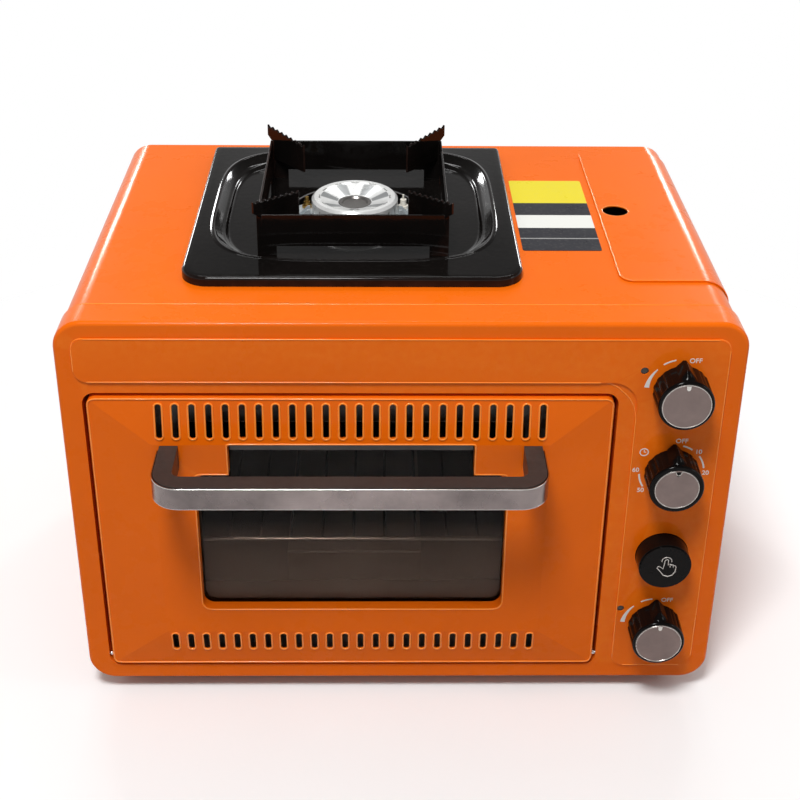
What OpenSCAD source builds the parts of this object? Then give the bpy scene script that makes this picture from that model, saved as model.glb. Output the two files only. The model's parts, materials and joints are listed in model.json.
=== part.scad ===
// Camp oven with a gas stove burner on top. Millimetres, +Z up.
// The drawing frame has x = 0 at the middle of the case, y = 0 at the face of the
// front panel and z = 0 at its lower edge. place() stands the drawing on its feet,
// with the origin under the middle of the whole oven.

/* [Case] */
// Width of the case
body_w = 470; // [450:1:540]
// Height of the front panel
body_h = 309; // [300:1:350]
// Depth of the case, front face to back edge
body_d = 330; // [326:1:400]
// Corner radius of the front panel
corner_r = 20; // [14:1:24]
// Sheet thickness
sheet = 1; // [0.8:0.1:1.2]
// Depth of the front panel's edge
panel_depth = 27; // [22:1:36]
// Bend radius round the front panel
bend_r = 3; // [2:0.5:5]
// Height of the raised band on the front panel
emboss = 1.2; // [0.8:0.1:2]
// Height of the feet under the case
foot_h = 12; // [9:1:20]
// Radius of a foot
foot_r = 11; // [8:0.5:14]

/* [Door opening] */
// Left edge of the case to the door opening
side_margin = 16; // [14:1:24]
// Width of the control column right of the opening
control_w = 85.5; // [84:0.5:100]
// Height of the sill under the opening
sill_h = 13.5; // [11:0.5:18]
// Height of the band above the opening
top_band = 54.5; // [50:0.5:62]
// Corner radius of the opening
open_r = 9; // [6:0.5:12]
// Gap round the door
door_gap = 3; // [2.5:0.25:4]
// Depth of the door jamb
jamb_depth = 20; // [19:1:24]

/* [Door] */
// Depth of the door's rim in front of the panel face
door_lift = 1.5; // [1:0.25:2.5]
// Depth of the door's ridge in front of the panel face
ridge_lift = 6; // [4:0.5:8]
// Back face of the door behind the panel face
door_back = 16; // [15:0.5:17]
// Back edge of the outer skin
skin_back = 12; // [9:0.5:13]
// Width of the sloping facet at each side
facet_side = 43; // [38:1:50]
// Width of the lower facet
facet_bottom = 34; // [30:1:40]
// Width of the upper facet
facet_top = 35.5; // [32:0.5:42]
// Depth that the frame falls back towards the window
dish = 1.6; // [0.8:0.1:2]
// Length over which the frame falls back
dish_run = 50; // [40:1:60]
// Width of the window
window_w = 220; // [180:1:240]
// Height of the window's wide part
window_h = 119; // [90:1:125]
// Ridge to the window's lower edge
window_up = 21; // [14:1:26]
// Width of the window's upper part
notch_w = 172; // [120:1:180]
// Corner radius of the window
window_r = 8; // [4:0.5:12]
// Corner radius of the window's upper part
notch_r = 2.5; // [1.5:0.5:4]
// Glass thickness
glass_t = 4; // [3:0.5:5]
// Front face of the glass behind the panel face
glass_y = 3; // [2.5:0.25:4]
// Lap of the glass round the window
glass_lap = 11; // [8:1:14]
// Door edge to the hinge axis, upwards
hinge_up = 5.5; // [5:0.5:7]
// Panel face to the hinge axis
hinge_in = 3.6; // [3.4:0.1:4.5]
// Radius of a door hinge pin
hinge_pin_r = 1.8; // [1.5:0.1:2]

/* [Door slots] */
// Slots in a row
slot_n = 24; // [10:1:26]
// Pitch of the slots
slot_pitch = 11.5; // [9:0.5:12]
// Width of a slot
slot_w = 4.4; // [3:0.2:6]
// Length of an upper slot
slot_top_l = 26; // [16:1:28]
// Door's top edge to the upper slots
slot_top_drop = 4.6; // [4:0.2:8]
// Length of a lower slot
slot_low_l = 16.4; // [10:0.4:18]
// Door's bottom edge to the lower slots
slot_low_up = 15.8; // [13:0.2:17]

/* [Handle] */
// Ridge's end to the handle's side
handle_in = 4.25; // [0:0.25:20]
// Reach of the handle in front of the panel face
handle_reach = 57; // [45:1:70]
// Thickness of the handle bar, front to back
bar_t = 14; // [10:0.5:18]
// Height of the handle bar
bar_h = 18; // [12:0.5:22]
// Outer corner radius of the handle
bar_r = 20; // [15:1:26]
// Ridge to the middle of the handle, downwards
handle_drop = 9.5; // [9:0.5:14]
// Thickness of the steel facing
facing_t = 1.2; // [0.8:0.1:2]
// Radius of a handle screw
handle_screw_r = 2; // [1.5:0.25:2.5]

/* [Controls] */
// Right edge of the case to the control axis
control_in = 44; // [40:1:46]
// Top of the case to the stove knob
stove_drop = 51; // [46:1:54]
// Stove knob to timer knob
timer_drop = 67.5; // [62:0.5:72]
// Timer knob to safety button
button_drop = 72.5; // [60:0.5:74]
// Safety button to oven knob
oven_drop = 65; // [56:0.5:66]
// Radius of a knob
knob_r = 19.5; // [16:0.5:21]
// Depth of a knob
knob_l = 21.2; // [18:0.2:26]
// Radius of the pointer's tip
pointer_r = 24; // [22:0.5:26]
// Radius of a knob's metal insert
insert_r = 17; // [13:0.5:17]
// Radius of the timer's metal insert
timer_insert_r = 15.7; // [12:0.1:17]
// Radius of a control stem
stem_r = 3; // [2.5:0.25:3.5]
// Radius of the safety button
button_r = 19; // [15:0.5:20]
// Reach of the safety button
button_l = 16; // [12:1:20]
// Travel of the safety button
button_travel = 5; // [3:0.5:6]
// Radius of a valve screw
valve_screw_r = 1.8; // [1.5:0.1:2.2]

/* [Stove] */
// Front face to the middle of the burner
burner_y = 182; // [180:1:186]
// Radius of the burner head
head_r = 33.5; // [30:0.5:36]
// Height of the burner head's top over the case top
head_up = 15.5; // [13:0.5:18]
// Radius of the burner's centre cup
cup_r = 12.3; // [10:0.1:14]
// Width of the drip pan
pan_w = 243; // [230:1:250]
// Depth of the drip pan
pan_d = 252.5; // [240:0.5:256]
// Height of the drip pan's skirt
pan_h = 7; // [5:0.5:10]
// Sheet thickness of the drip pan
pan_t = 0.8; // [0.6:0.1:1]
// Corner radius of the drip pan
pan_r = 20; // [12:1:30]
// Radius of the pan's two back corners
pan_back_r = 4; // [3:1:20]
// Width of the pan's well at the top
well_w = 210; // [190:1:216]
// Depth of the pan's well below the rim
well_l = 8; // [7:0.5:9]
// Width of the well's sloping wall
well_slope = 11; // [6:0.5:14]
// Middle of the well behind the burner
well_back = 11; // [4:1:12]
// Radius of the hole round the burner
pan_hole_r = 50; // [49:0.5:54]
// Half width of the pot support's frame
rest_x = 70; // [62:1:76]
// Half depth of the pot support's frame
rest_y = 75; // [66:1:78]
// Height of the pot support's bars
rest_bar_h = 25; // [18:1:30]
// Top of the pot support over the case top
rest_up = 44.5; // [40:0.5:52]
// Sheet thickness of the pot support
rest_t = 1.6; // [1.2:0.1:2.2]

/* [Cartridge bay] */
// Width of the lid
lid_w = 79; // [77:0.5:81]
// Front face to the lid
lid_front = 64.5; // [62:0.5:70]
// Lid to the back edge of the case
lid_back = 21; // [18:1:26]
// Corner radius of the lid
lid_r = 10; // [5:1:14]
// Radius of the finger hole
finger_r = 10; // [8:0.5:12]
// Lid's left edge to the middle of the finger hole
finger_in = 14; // [13:0.5:18]
// Case top to the lid hinge
lid_hinge_drop = 45.5; // [42:0.5:50]
// Radius of a lid hinge knuckle
knuckle_r = 3; // [2.6:0.1:3]
// Radius of the lid hinge pin
lid_pin_r = 1.5; // [1.2:0.1:1.6]
// Radius of the gas cartridge that the bay takes
can_r = 34; // [32:0.5:34]

/* [Oven] */
// Width of the liner's flange seen inside the opening
liner_lip = 13; // [10:0.5:16]
// Sill to the liner's floor
liner_up = 20.5; // [18:0.5:24]
// Top of the opening to the liner's roof
liner_down = 8.5; // [8:0.5:12]
// Liner's back to the back edge of the case
liner_back = 22; // [16:1:30]
// Height of the rack over the liner's floor
rack_up = 63; // [50:1:110]
// Radius of the rack's frame wire
rack_r = 2; // [1.5:0.25:2.5]
// Radius of a cross wire
wire_r = 1.2; // [1:0.1:1.6]
// Number of cross wires
wire_n = 13; // [7:2:21]
// Width of the heat baffle
baffle_w = 106; // [80:1:160]
// Height of the heat baffle over the liner's floor
baffle_up = 28; // [26:1:34]
// Radius of the oven's burner tube
tube_r = 8; // [6:0.5:9]

/* [Fits] */
// Rest gap between pieces that lift or swing
seat_gap = 0.3; // [0.25:0.05:0.4]
// Running clearance round a pin or stem
run_gap = 0.1; // [0.05:0.01:0.1]
// Clearance round a screw or a fixed pin
fix_gap = 0.1; // [0.05:0.05:0.2]

/* [Hidden] */
$fn = 48;
far = 900;
eps = 0.01;

// Case faces
half_w = body_w / 2;
front_y = (handle_reach - body_d) / 2;
shell_step = seat_gap + sheet + 0.2;
shell_x = half_w - shell_step;
shell_top = body_h - shell_step;
shell_r = corner_r - shell_step;
wall_x = shell_x - sheet;
under_top = shell_top - sheet;
shell_y = 6;
rear_y = body_d - 3;
rim_w = 12;
shell_low = shell_step;
under_lip = 7;
base_low = shell_low + sheet;
base_top = base_low + sheet;
base_x = shell_x - shell_r;
base_y = shell_y + 2;
base_lip_h = 10;
base_vent_w = 6;
base_vent_l = 45;
base_vent_pitch = 17;
foot_in_x = half_w - base_x + under_lip + foot_r + 2;
foot_screw_r = 2;
foot_screw_l = 8;
rear_screw_r = 1.5;
rear_vent_w = 6;
rear_vent_l = 40;
rear_vent_z = 70;
rear_vent_step = 60;
vent_pitch = 14;
side_vent_l = 30;

// Raised band of the front panel
band_left = 12.6;
band_right = 13;
band_top = 12;
band_over_door = 9;
band_by_door = 12.5;
band_r = 9;
band_fillet = 18;
foot_in_y = 45;
foot_back = 30;

// Door opening and door outline
open_x0 = -half_w + side_margin;
open_x1 = half_w - control_w;
open_z0 = sill_h;
open_z1 = body_h - top_band;
mid_x = (open_x0 + open_x1) / 2;
door_x0 = open_x0 + door_gap;
door_x1 = open_x1 - door_gap;
door_z0 = open_z0 + door_gap;
door_z1 = open_z1 - door_gap;
door_r = open_r - door_gap;
ridge_x0 = door_x0 + facet_side;
ridge_x1 = door_x1 - facet_side;
ridge_z0 = door_z0 + facet_bottom;
ridge_z1 = door_z1 - facet_top;
window_z0 = ridge_z0 + window_up;
window_z1 = window_z0 + window_h;
notch_z1 = ridge_z1;
hinge_z = door_z0 + hinge_up;
inner_in = sheet + fix_gap;
frame_w = window_w;
frame_z1 = notch_z1 - 5;
bracket_t = 1.5;

// Handle
handle_w = ridge_x1 - ridge_x0 - 2 * handle_in;
handle_z = ridge_z1 - handle_drop;
post_x = handle_w / 2 - bar_t / 2;

// Controls
control_x = half_w - control_in;
stove_z = body_h - stove_drop;
timer_z = stove_z - timer_drop;
button_z = timer_z - button_drop;
oven_z = button_z - oven_drop;
knob_back = -(emboss + 0.6);
valve_y = sheet;
valve_plate = 2;
valve_half = 17;
valve_end = 38;
screw_dx = 26;
screw_dz = 15;
low_screw_dx = 12;
low_screw_dz = 17;
screw_in = valve_plate + 3;
timer_half = 24;
timer_end = 34;
button_stem_r = 4;
button_gap = 0.4;
stem_in = 13;
stem_bore = 18;
reg_r = 22;
reg_end = 58;
port_r = 8;
port_end = 72;
pipe_r = 3;
pipe_y = 48;
cap_r = 12;
housing_t = 2;
housing_end = sheet + 24;

// Stove
pan_z = shell_top + seat_gap;
pan_top = pan_z + pan_h;
well_floor = pan_top - well_l;
well_y = burner_y + well_back;
well_r = 26;
well_fn = 32;
head_top = shell_top + head_up;
head_h = 13;
base_r = head_r - 4.5;
base_flange = 2;
bracket_z = head_top - head_h - base_flange;
mix_z = bracket_z - 17;
mix_r = 9;
mix_x = mid_x + base_r + 80;
rest_top = shell_top + rest_up;
rest_bar_top = rest_top - 12;
leg_foot = well_floor + seat_gap;
leg_w = 14;
burner_drop = 30;
bracket_leg_x = 46;
rod_x_out = 38;
rod_y_back = 12;
rod_r = 2.5;

// Cartridge bay
lid_x = half_w - lid_w;
lid_y1 = body_d - lid_back;
lap = 3;
bay_x = lid_x + lap;
bay_y0 = lid_front + lap;
bay_y1 = lid_y1 - lap;
lid_in = shell_x + seat_gap;
lid_out = lid_in + sheet;
pivot_x = shell_x - 2;
pivot_z = shell_top - lid_hinge_drop;
flap_z = pivot_z + knuckle_r + 1;
side_open_z = pivot_z - knuckle_r - 1;
wall_top = flap_z - 1.5;
knuckle_l = 10;
lug_l = 12;
lid_hinges = [lid_front + 45, lid_y1 - 45];
hinge_half = lug_l / 2 + seat_gap + knuckle_l + 0.5;
partition_x = lid_x - 4;
bay_floor_z = stove_z - can_r - 2 * sheet;
lid_lip = 7;
bracket_drop = 22;
label_gap = 6;
label_w = 59;
label_back = 68;
label_front = 66;
label_t = 0.3;

// Oven
liner_x0 = open_x0 + liner_lip;
liner_x1 = open_x1 - liner_lip;
liner_z0 = open_z0 + liner_up;
liner_z1 = open_z1 - liner_down;
liner_y0 = jamb_depth;
liner_y1 = body_d - liner_back;
liner_r = 6;
flange_out = 7;
floor_z = liner_z0 + sheet;
rack_z = floor_z + rack_up;
rack_y0 = 45;
rack_y1 = liner_y1 - 12;
rail_w = 10;
rail_z = rack_z - rack_r - seat_gap;
rack_x0 = liner_x0 + sheet + 4;
rack_x1 = liner_x1 - sheet - 4;
baffle_z = floor_z + baffle_up;
baffle_y0 = 75;
baffle_y1 = 255;
tube_y = 165;
tube_z = floor_z + tube_r + 5;
tube_x1 = partition_x + 6;
rail_y0 = liner_y0 + 10;
rail_y1 = liner_y1 - 8;
rail_h = 10;
support_in = 20;
support_l = 20;
support_y = [liner_y0 + 40, liner_y1 - 58];
spark_y = tube_y + 16;
spark_z = tube_z + 4;

// Moves the drawing on to its feet
module place() translate([0, front_y, foot_h]) children();

// Slab between two y values, with its outline drawn in (x, z)
module slab_y(y0, y1) translate([0, y1, 0]) rotate([90, 0, 0]) linear_extrude(y1 - y0) children();

// Bar between two x values, with its outline drawn in (y, z)
module bar_x(x0, x1) translate([x0, 0, 0]) rotate([90, 0, 90]) linear_extrude(x1 - x0) children();

// Plate between two z values
module plate_z(z0, z1) translate([0, 0, z0]) linear_extrude(z1 - z0) children();

// Box from its two corners
module box(lo, hi) translate(lo) cube(hi - lo);

// Rounded rectangle from its two corners
module rr(x0, z0, x1, z1, r) {
    translate([x0 + r, z0]) square([x1 - x0 - 2 * r, z1 - z0]);
    translate([x0, z0 + r]) square([x1 - x0, z1 - z0 - 2 * r]);
    for (x = [x0 + r, x1 - r], z = [z0 + r, z1 - r]) translate([x, z]) circle(r);
}

// Round bar along y
module rod_y(x, z, r, y0, y1) translate([x, y1, z]) rotate([90, 0, 0]) cylinder(h = y1 - y0, r = r);

// Round bar along x
module rod_x(y, z, r, x0, x1) translate([x0, y, z]) rotate([0, 90, 0]) cylinder(h = x1 - x0, r = r);

// Round tube run through a list of points, with a ball fitting at each bend
module tube_run(points, r) {
    for (i = [0 : len(points) - 2]) {
        d = points[i + 1] - points[i];
        translate(points[i]) rotate([0, acos(d[2] / norm(d)), atan2(d[1], d[0])])
            cylinder(h = norm(d), r = r);
    }
    for (i = [1 : 1 : len(points) - 2]) translate(points[i]) sphere(r * 1.35);
}

// Block with a rounded front edge, from y0 back to y1
module soft_block(x0, z0, x1, z1, r, b, y0, y1) {
    slab_y(y0, y1) rr(x0 + b, z0 + b, x1 - b, z1 - b, r - b);
    slab_y(y0 + b, y1) rr(x0, z0, x1, z1, r);
    for (x = [x0 + b, x1 - b]) translate([x, y0 + b, z0 + r]) cylinder(h = z1 - z0 - 2 * r, r = b);
    for (z = [z0 + b, z1 - b]) rod_x(y0 + b, z, b, x0 + r, x1 - r);
    for (x = [x0 + r, x1 - r], z = [z0 + r, z1 - r])
        translate([x, y0 + b, z]) rotate([90, 0, 0]) rotate_extrude() translate([r - b, 0]) circle(b);
}

// Outline of the raised band: across the top and down the control column
module band_2d(inset) {
    top_z = body_h - band_top - inset;
    low_z = open_z1 + band_over_door + inset;
    right_x = half_w - band_right - inset;
    col_x = open_x1 + band_by_door + inset;
    fillet = band_fillet - inset;
    rr(-half_w + band_left + inset, low_z, right_x, top_z, band_r - inset);
    rr(col_x, sill_h + inset, right_x, top_z, band_r - inset);
    difference() {
        translate([col_x - fillet, low_z - fillet]) square(fillet + 2);
        translate([col_x - fillet, low_z - fillet]) circle(fillet);
    }
}

// Door opening, grown outwards
module opening_2d(grow) rr(open_x0 - grow, open_z0 - grow, open_x1 + grow, open_z1 + grow, open_r + grow);

// Places of the valve screws round a knob axis
function valve_screw_at(z) = [[control_x - screw_dx, z + screw_dz],
    [control_x + low_screw_dx, z - low_screw_dz]];

module front_panel() color([0.82, 0.32, 0.07]) place() difference() {
    union() {
        difference() {
            soft_block(-half_w, 0, half_w, body_h, corner_r, bend_r, 0, panel_depth);
            soft_block(-half_w + sheet, sheet, half_w - sheet, body_h - sheet,
                corner_r - sheet, bend_r - sheet, sheet, panel_depth + 1);
        }
        slab_y(-emboss, sheet) band_2d(0);
        slab_y(0, jamb_depth) opening_2d(sheet);
    }
    slab_y(sheet - emboss, sheet + 1) band_2d(sheet);
    slab_y(-1, jamb_depth + 1) opening_2d(0);
    for (z = [stove_z, timer_z, oven_z]) rod_y(control_x, z, stem_r + 2, -emboss - 1, sheet + 1);
    rod_y(control_x, button_z, button_r + button_gap, -emboss - 1, sheet + 1);
    for (z = [stove_z, oven_z]) for (p = valve_screw_at(z))
        rod_y(p[0], p[1], valve_screw_r + 1, -emboss - 1, sheet + 1);
    for (x = [open_x0 - sheet - 1, open_x1 - 1])
        rod_x(hinge_in, hinge_z, hinge_pin_r + 0.8, x, x + sheet + 2);
}

module body_shell() color([0.95, 0.5, 0.14]) place() difference() {
    union() {
        difference() {
            slab_y(shell_y, body_d) shell_2d(0, 0);
            slab_y(shell_y - 1, body_d + 1) shell_2d(sheet, 0);
        }
        slab_y(rear_y - sheet, rear_y) difference() {
            shell_2d(sheet - eps, base_top);
            shell_2d(sheet + rim_w, 0);
        }
    }
    box([-base_x + under_lip, shell_y - 1, 0], [base_x - under_lip, body_d + 1, base_low + eps]);
    plate_z(under_top - 1, shell_top + 1)
        translate([mid_x, well_y]) square_2d(well_w + 4, well_w + 4, well_r);
    box([bay_x, bay_y0, wall_top], [half_w + 5, bay_y1, body_h + 5]);
    for (y = lid_hinges) box([shell_x - shell_r, y - hinge_half, side_open_z],
        [half_w + 5, y + hinge_half, wall_top + 1]);
    rear_holes(fix_gap);
}

// Cross-section of the shell, round at its four corners, from the height low up
module shell_2d(inset, low) intersection() {
    x = shell_x - inset;
    rr(-x, shell_low + inset, x, shell_top - inset, max(shell_r - inset, 0.5));
    translate([-x, low]) square([2 * x, far]);
}

// Rounded rectangle about its own centre
module square_2d(w, d, r) rr(-w / 2, -d / 2, w / 2, d / 2, r);

rear_x = wall_x - fix_gap;
rear_screw_x = rear_x - 6;
rear_screws_at = [for (x = [-1, 1], z = [30, body_h / 2, body_h - 45]) [x * rear_screw_x, z]];

module rear_holes(gap) for (p = rear_screws_at)
    rod_y(p[0], p[1], rear_screw_r + gap, rear_y - 8, rear_y + 3);

// Upright vent slot about x = 0
module vent(length) translate([-rear_vent_w / 2, 0])
    rr(0, 0, rear_vent_w, length, rear_vent_w / 2 - eps);

module rear_panel() color([0.62, 0.62, 0.6]) place() difference() {
    slab_y(rear_y, rear_y + sheet) difference() {
        shell_2d(sheet + fix_gap, base_top);
        for (row = [0 : 2], i = [-7 : 7])
            translate([mid_x + i * vent_pitch, rear_vent_z + row * rear_vent_step]) vent(rear_vent_l);
        for (i = [-1.5 : 1.5]) translate([control_x + i * vent_pitch, button_z]) vent(side_vent_l);
    }
    rear_holes(fix_gap);
}

module rear_screws() color([0.75, 0.75, 0.75]) place() for (p = rear_screws_at) {
    rod_y(p[0], p[1], 2 * rear_screw_r, rear_y + sheet, rear_y + sheet + 1.6);
    rod_y(p[0], p[1], rear_screw_r, rear_y - 6, rear_y + sheet + eps);
}

feet_at = [for (x = [-half_w + foot_in_x, half_w - foot_in_x],
    y = [foot_in_y, body_d - foot_back]) [x, y]];

module base_pan() color([0.55, 0.55, 0.54]) place() difference() {
    union() {
        box([-base_x, base_y, base_low], [base_x, rear_y + sheet, base_top]);
        for (x = [-base_x, base_x - sheet]) box([x, base_y, base_low],
            [x + sheet, rear_y - sheet - fix_gap, base_low + base_lip_h]);
    }
    for (p = feet_at) translate([p[0], p[1], 0])
        cylinder(h = base_top + 1, r = foot_screw_r + fix_gap);
    plate_z(0, base_top + 1) for (i = [-9 : 9], y = [90, 210])
        translate([mid_x + i * base_vent_pitch - base_vent_w / 2, y])
            rr(0, 0, base_vent_w, base_vent_l, base_vent_w / 2 - eps);
}

module rubber_feet() color([0.1, 0.1, 0.1]) place() for (p = feet_at)
    translate([p[0], p[1], -foot_h]) difference() {
        cylinder(h = foot_h + base_low, r1 = foot_r - 1, r2 = foot_r);
        translate([0, 0, foot_h + base_low - foot_screw_l])
            cylinder(h = foot_screw_l + 1, r = foot_screw_r + fix_gap);
    }

module foot_screws() color([0.75, 0.75, 0.75]) place() for (p = feet_at)
    translate([p[0], p[1], base_top]) {
        cylinder(h = foot_screw_r, r = 2 * foot_screw_r);
        translate([0, 0, -foot_screw_l]) cylinder(h = foot_screw_l + eps, r = foot_screw_r);
    }

module liner_2d(grow)
    rr(liner_x0 - grow, liner_z0 - grow, liner_x1 + grow, liner_z1 + grow, liner_r + grow);

module oven_liner() color([0.2, 0.18, 0.16]) place() difference() {
    union() {
        slab_y(liner_y0, liner_y1) liner_2d(0);
        slab_y(liner_y0, liner_y0 + sheet) opening_2d(flange_out);
    }
    slab_y(liner_y0 - 1, liner_y1 - sheet) liner_2d(-sheet);
    rod_x(tube_y, tube_z, tube_r + seat_gap, liner_x1 - sheet - 2, liner_x1 + 2);
    rod_x(spark_y, spark_z, rod_r + fix_gap, liner_x1 - sheet - 2, liner_x1 + 2);
}

module liner_supports() color([0.6, 0.6, 0.6]) place() for (y = support_y)
    difference() {
        box([liner_x0 + support_in, y, base_top], [liner_x1 - support_in, y + support_l, liner_z0]);
        box([liner_x0 + support_in - 1, y + sheet, base_top + sheet],
            [liner_x1 - support_in + 1, y + support_l + 1, liner_z0 - sheet]);
    }

module rack_rails() color([0.6, 0.6, 0.58]) place() for (side = [0, 1]) {
    x = side == 0 ? liner_x0 + sheet : liner_x1 - sheet - rail_w;
    wall = side == 0 ? x : x + rail_w - sheet;
    box([x, rail_y0, rail_z - sheet], [x + rail_w, rail_y1, rail_z]);
    box([wall, rail_y0, rail_z - rail_h], [wall + sheet, rail_y1, rail_z]);
}

module wire_rack() color([0.78, 0.78, 0.78]) place() {
    for (y = [rack_y0, rack_y1]) rod_x(y, rack_z, rack_r, rack_x0, rack_x1);
    for (x = [rack_x0, rack_x1]) {
        rod_y(x, rack_z, rack_r, rack_y0, rack_y1);
        for (y = [rack_y0, rack_y1]) translate([x, y, rack_z]) sphere(rack_r);
    }
    step = (rack_x1 - rack_x0) / (wire_n + 1);
    for (i = [1 : wire_n]) rod_y(rack_x0 + i * step, rack_z, wire_r, rack_y0, rack_y1);
}

module heat_baffle() color([0.55, 0.53, 0.5]) place() {
    x0 = mid_x - baffle_w / 2;
    x1 = mid_x + baffle_w / 2;
    box([x0, baffle_y0, baffle_z - sheet], [x1, baffle_y1, baffle_z]);
    for (y = [baffle_y0, baffle_y1 - sheet]) box([x0, y, floor_z], [x1, y + sheet, baffle_z]);
}

module oven_burner_tube() color([0.7, 0.68, 0.64]) place() difference() {
    rod_x(tube_y, tube_z, tube_r, liner_x0 + sheet, tube_x1);
    rod_x(tube_y, tube_z, tube_r - sheet, liner_x0 + 2 * sheet, tube_x1 + 1);
    for (i = [-12 : 12]) translate([mid_x + i * 11, tube_y, tube_z]) cylinder(h = tube_r + 2, r = 1.2);
}

module oven_electrode() color([0.9, 0.88, 0.84]) place() {
    rod_x(spark_y, spark_z, rod_r, liner_x1 - 22, liner_x1 + 12);
    rod_x(spark_y, spark_z, rod_r + 2, liner_x1, liner_x1 + 3);
    rod_x(spark_y, spark_z, 0.8, liner_x1 - 34, liner_x1 - 20);
}

// Sloping well of the drip pan, made bigger by grow
module well(grow, lift) hull() {
    translate([mid_x, well_y, pan_top + lift])
        linear_extrude(eps) square_2d(well_w + 2 * grow, well_w + 2 * grow, well_r + grow);
    translate([mid_x, well_y, well_floor + lift - grow])
        linear_extrude(eps) square_2d(well_w - 2 * well_slope + 2 * grow,
            well_w - 2 * well_slope + 2 * grow, well_r - well_slope + grow);
}

// Outline of the pan: round corners in front, nearly square ones at the back
module pan_2d(inset) hull() for (side = [-1, 1], row = [-1, 1]) {
    r = (row < 0 ? pan_r : pan_back_r) - inset;
    translate([mid_x + side * (pan_w / 2 - inset - r), burner_y + row * (pan_d / 2 - inset - r)])
        circle(r);
}

module drip_pan() color([0.03, 0.03, 0.03]) place() difference() {
    union() {
        difference() {
            plate_z(pan_z, pan_top) pan_2d(0);
            plate_z(pan_z - 1, pan_top - pan_t) pan_2d(pan_t);
        }
        intersection() {
            well(pan_t, 0, $fn = well_fn);
            plate_z(0, pan_top) translate([mid_x, burner_y]) square(pan_w - 8, center = true);
        }
        translate([mid_x, burner_y, well_floor - pan_t]) cylinder(h = 5, r = pan_hole_r + pan_t);
    }
    difference() {
        well(0, eps, $fn = well_fn);
        translate([mid_x, burner_y, well_floor - 1]) cylinder(h = 5.2, r = pan_hole_r + pan_t);
    }
    translate([mid_x, burner_y, well_floor - 2]) cylinder(h = 20, r = pan_hole_r);
}

arm_tip = [rest_x + 2, rest_y + 5];
arm_len = norm(arm_tip);
arm_tilt = atan2(arm_tip[1], arm_tip[0]);
arm_in = 0.57 * arm_len;
tooth_n = 8;
arm_foot_r = norm([rest_x, rest_y]) - 3;

// Serrated arm in its own plane: distance from the burner's axis, and height
function arm_top(r) = rest_top - 5 * (arm_len - r) / (arm_len - arm_in);
module arm_2d() {
    step = (arm_len - arm_in) / tooth_n;
    teeth = [for (i = [0 : tooth_n - 1]) each [
        [arm_in + i * step, arm_top(arm_in + i * step)],
        [arm_in + (i + 0.5) * step, arm_top(arm_in + (i + 0.5) * step) - 2]]];
    polygon(concat([[arm_in, rest_bar_top - 16]], teeth, [[arm_len, rest_top],
        [arm_len, rest_top - 9], [arm_foot_r + 1, rest_bar_top - 2],
        [arm_foot_r, rest_bar_top - 16]]));
}

module pot_support() color([0.05, 0.05, 0.05]) place() translate([mid_x, burner_y, 0]) {
    bar_low = rest_bar_top - rest_bar_h;
    difference() {
        box([-rest_x, -rest_y, leg_foot], [rest_x, rest_y, rest_bar_top]);
        box([-rest_x + rest_t, -rest_y + rest_t, leg_foot - 1],
            [rest_x - rest_t, rest_y - rest_t, rest_bar_top + 1]);
        box([-rest_x + leg_w, -rest_y - 1, leg_foot - 1], [rest_x - leg_w, rest_y + 1, bar_low]);
        box([-rest_x - 1, -rest_y + leg_w, leg_foot - 1], [rest_x + 1, rest_y - leg_w, bar_low]);
    }
    for (sx = [-1, 1], sy = [-1, 1]) rotate([0, 0, atan2(sy * arm_tip[1], sx * arm_tip[0])])
        slab_y(-rest_t / 2, rest_t / 2) arm_2d();
}

module burner_base() color([0.72, 0.72, 0.72]) place() translate([mid_x, burner_y, 0]) difference() {
    union() {
        translate([0, 0, bracket_z]) cylinder(h = base_flange, r = head_r);
        translate([0, 0, bracket_z - burner_drop]) cylinder(h = burner_drop + eps, r = base_r);
        rod_x(0, mix_z, mix_r, 0, mix_x - mid_x);
    }
    translate([0, 0, bracket_z - burner_drop + 2]) cylinder(h = burner_drop + 10, r = base_r - 2);
    rod_x(0, mix_z, mix_r - 1.5, 0, mix_x - mid_x + 1);
}

module burner_head() color([0.93, 0.93, 0.93]) place() translate([mid_x, burner_y, head_top])
    difference() {
        rotate_extrude() polygon([[cup_r + 0.6, -7.5], [cup_r + 0.6, -5], [head_r - 6, -0.3],
            [head_r - 2, 0], [head_r, -2], [head_r, -head_h], [head_r - 2, -head_h],
            [head_r - 2, -4], [head_r - 6, -3]]);
        for (i = [0 : 23]) rotate([0, 0, i * 15 + 7.5])
            box([head_r - 3, -0.9, -10], [head_r + 1, 0.9, -5]);
        for (i = [0 : 11]) rotate([0, 0, i * 30])
            box([head_r * 0.8, -3.2, -5], [head_r * 0.8 + 1.2, 3.2, 1]);
    }

module burner_cup() color([0.62, 0.66, 0.66]) place() translate([mid_x, burner_y, head_top])
    difference() {
        union() {
            translate([0, 0, -8.5]) cylinder(h = 3.5, r = cup_r);
            translate([0, 0, -head_h - base_flange - burner_drop + 2])
                cylinder(h = burner_drop + 3, r = 5);
            translate([0, 0, -9.7]) cylinder(h = 1.2, r = cup_r + 4);
        }
        translate([0, 0, -6.5]) cylinder(h = 3, r1 = cup_r - 3, r2 = cup_r - 0.6);
    }

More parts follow.
